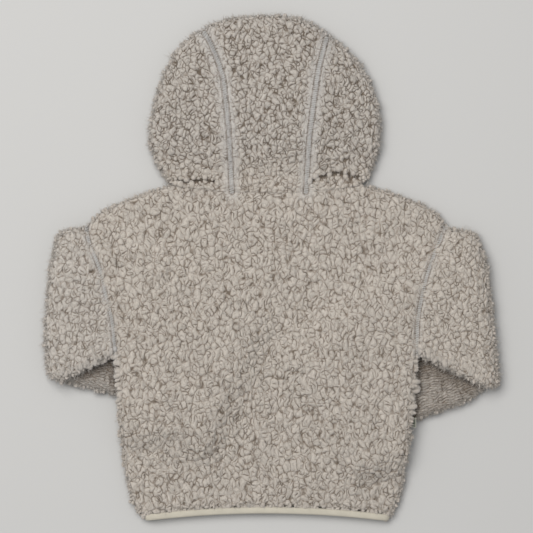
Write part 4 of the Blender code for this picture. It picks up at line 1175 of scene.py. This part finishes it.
def zipTeeth():
    # rows of round-nosed blocks on both tapes, each reaching past the middle line between two of the other row's;
    # above the slider they stand apart
    turn = np.linspace(-math.pi / 2, math.pi / 2, 5)
    half, back = teeth["wide"] / 2, -teeth["back"]
    nose = np.column_stack([np.cos(turn), np.sin(turn)]) * half
    corners = len(nose) + 2
    rings, faces = [], []
    for side in (-1, 1):
        rows = np.arange(-272.0, 52.5, teeth["pitch"]) + (teeth["pitch"] / 2 if side > 0 else 0)
        rows = rows[(rows < 36.0) | (rows > 48.2)]
        past = np.where(rows > 48, -1.0, teeth["past"])
        tip = nose[None] + np.column_stack([past - half, np.zeros(len(rows))])[:, None]
        tail = np.tile([[back, half], [back, -half]], (len(rows), 1, 1))
        plan = np.concatenate([tip, tail], axis=1)
        x = teeth["middle"] - side * plan[..., 0]
        y = rows[:, None] + (plan[..., 1] if side < 0 else -plan[..., 1])
        for up in (-0.5, 0.5):
            rings.append(np.stack([x, y, np.full(x.shape, teeth["height"] + up * teeth["thick"])], axis=-1))
    start = 0
    j = np.arange(corners)
    for lower in (rings[0], rings[2]):
        count = len(lower)
        above = j + count * corners
        quads = np.column_stack([j, np.roll(j, -1), np.roll(above, -1), above])
        faces.append(start + repeated(quads, count, corners))
        faces.append(start + repeated(np.stack([j[::-1], above]), count, corners))
        start += 2 * count * corners
    points = np.concatenate([ring.reshape(-1, 3) for ring in rings])
    piece = newObject("zip_teeth", points, faces, zipMetal, smooth=False)


zipTeeth()
print("zip teeth set")


def flatFloor(halfSide):
    corners = np.array([(-1, -1, 0), (1, -1, 0), (1, 1, 0), (-1, 1, 0)], float) * halfSide
    mesh = bpy.data.meshes.new("floor")
    mesh.from_pydata((corners * mm).tolist(), [], [(0, 1, 2, 3)])
    material, _, shader = newMaterial("pale_floor", 0.9)
    shader.inputs["Base Color"].default_value = (0.495, 0.49, 0.478, 1)
    mesh.materials.append(material)
    floor = bpy.data.objects.new("floor", mesh)
    bpy.context.scene.collection.objects.link(floor)


def areaLight(name, place, size, power, color):
    light = bpy.data.lights.new(name, "AREA")
    light.shape = "SQUARE"
    light.size = size
    light.energy = power
    light.color = color
    lamp = bpy.data.objects.new(name, light)
    lamp.location = place
    lamp.rotation_euler = (Vector((0, 0, 0)) - Vector(place)).to_track_quat("-Z", "Y").to_euler()
    bpy.context.scene.collection.objects.link(lamp)


# The light in metres and watts, and the room's even light
overhead = {"place": (-0.7, 0.8, 2.85), "size": 2.0, "power": 92, "color": (1.0, 0.99, 0.975)}
room = {"color": (0.96, 0.975, 1.0, 1), "strength": 0.40}


def studio():
    flatFloor(6000)
    areaLight("overhead", **overhead)
    world = bpy.data.worlds.new("soft_room")
    world.use_nodes = True
    background = world.node_tree.nodes["Background"]
    background.inputs["Color"].default_value = room["color"]
    background.inputs["Strength"].default_value = room["strength"]
    bpy.context.scene.world = world
    camera = bpy.data.objects.new("camera", bpy.data.cameras.new("camera"))
    camera.data.sensor_width = photoView["sensor"]
    camera.data.lens = photoView["sensor"] * photoView["height"] / photoView["side"]
    camera.location = (photoView["middle"][0] * mm, photoView["middle"][1] * mm, (photoView["height"] + 15) * mm)
    bpy.context.scene.collection.objects.link(camera)
    bpy.context.scene.camera = camera
    bpy.context.scene.view_settings.view_transform = "Standard"
    bpy.context.scene.view_settings.look = "None"


studio()
print("studio lit")
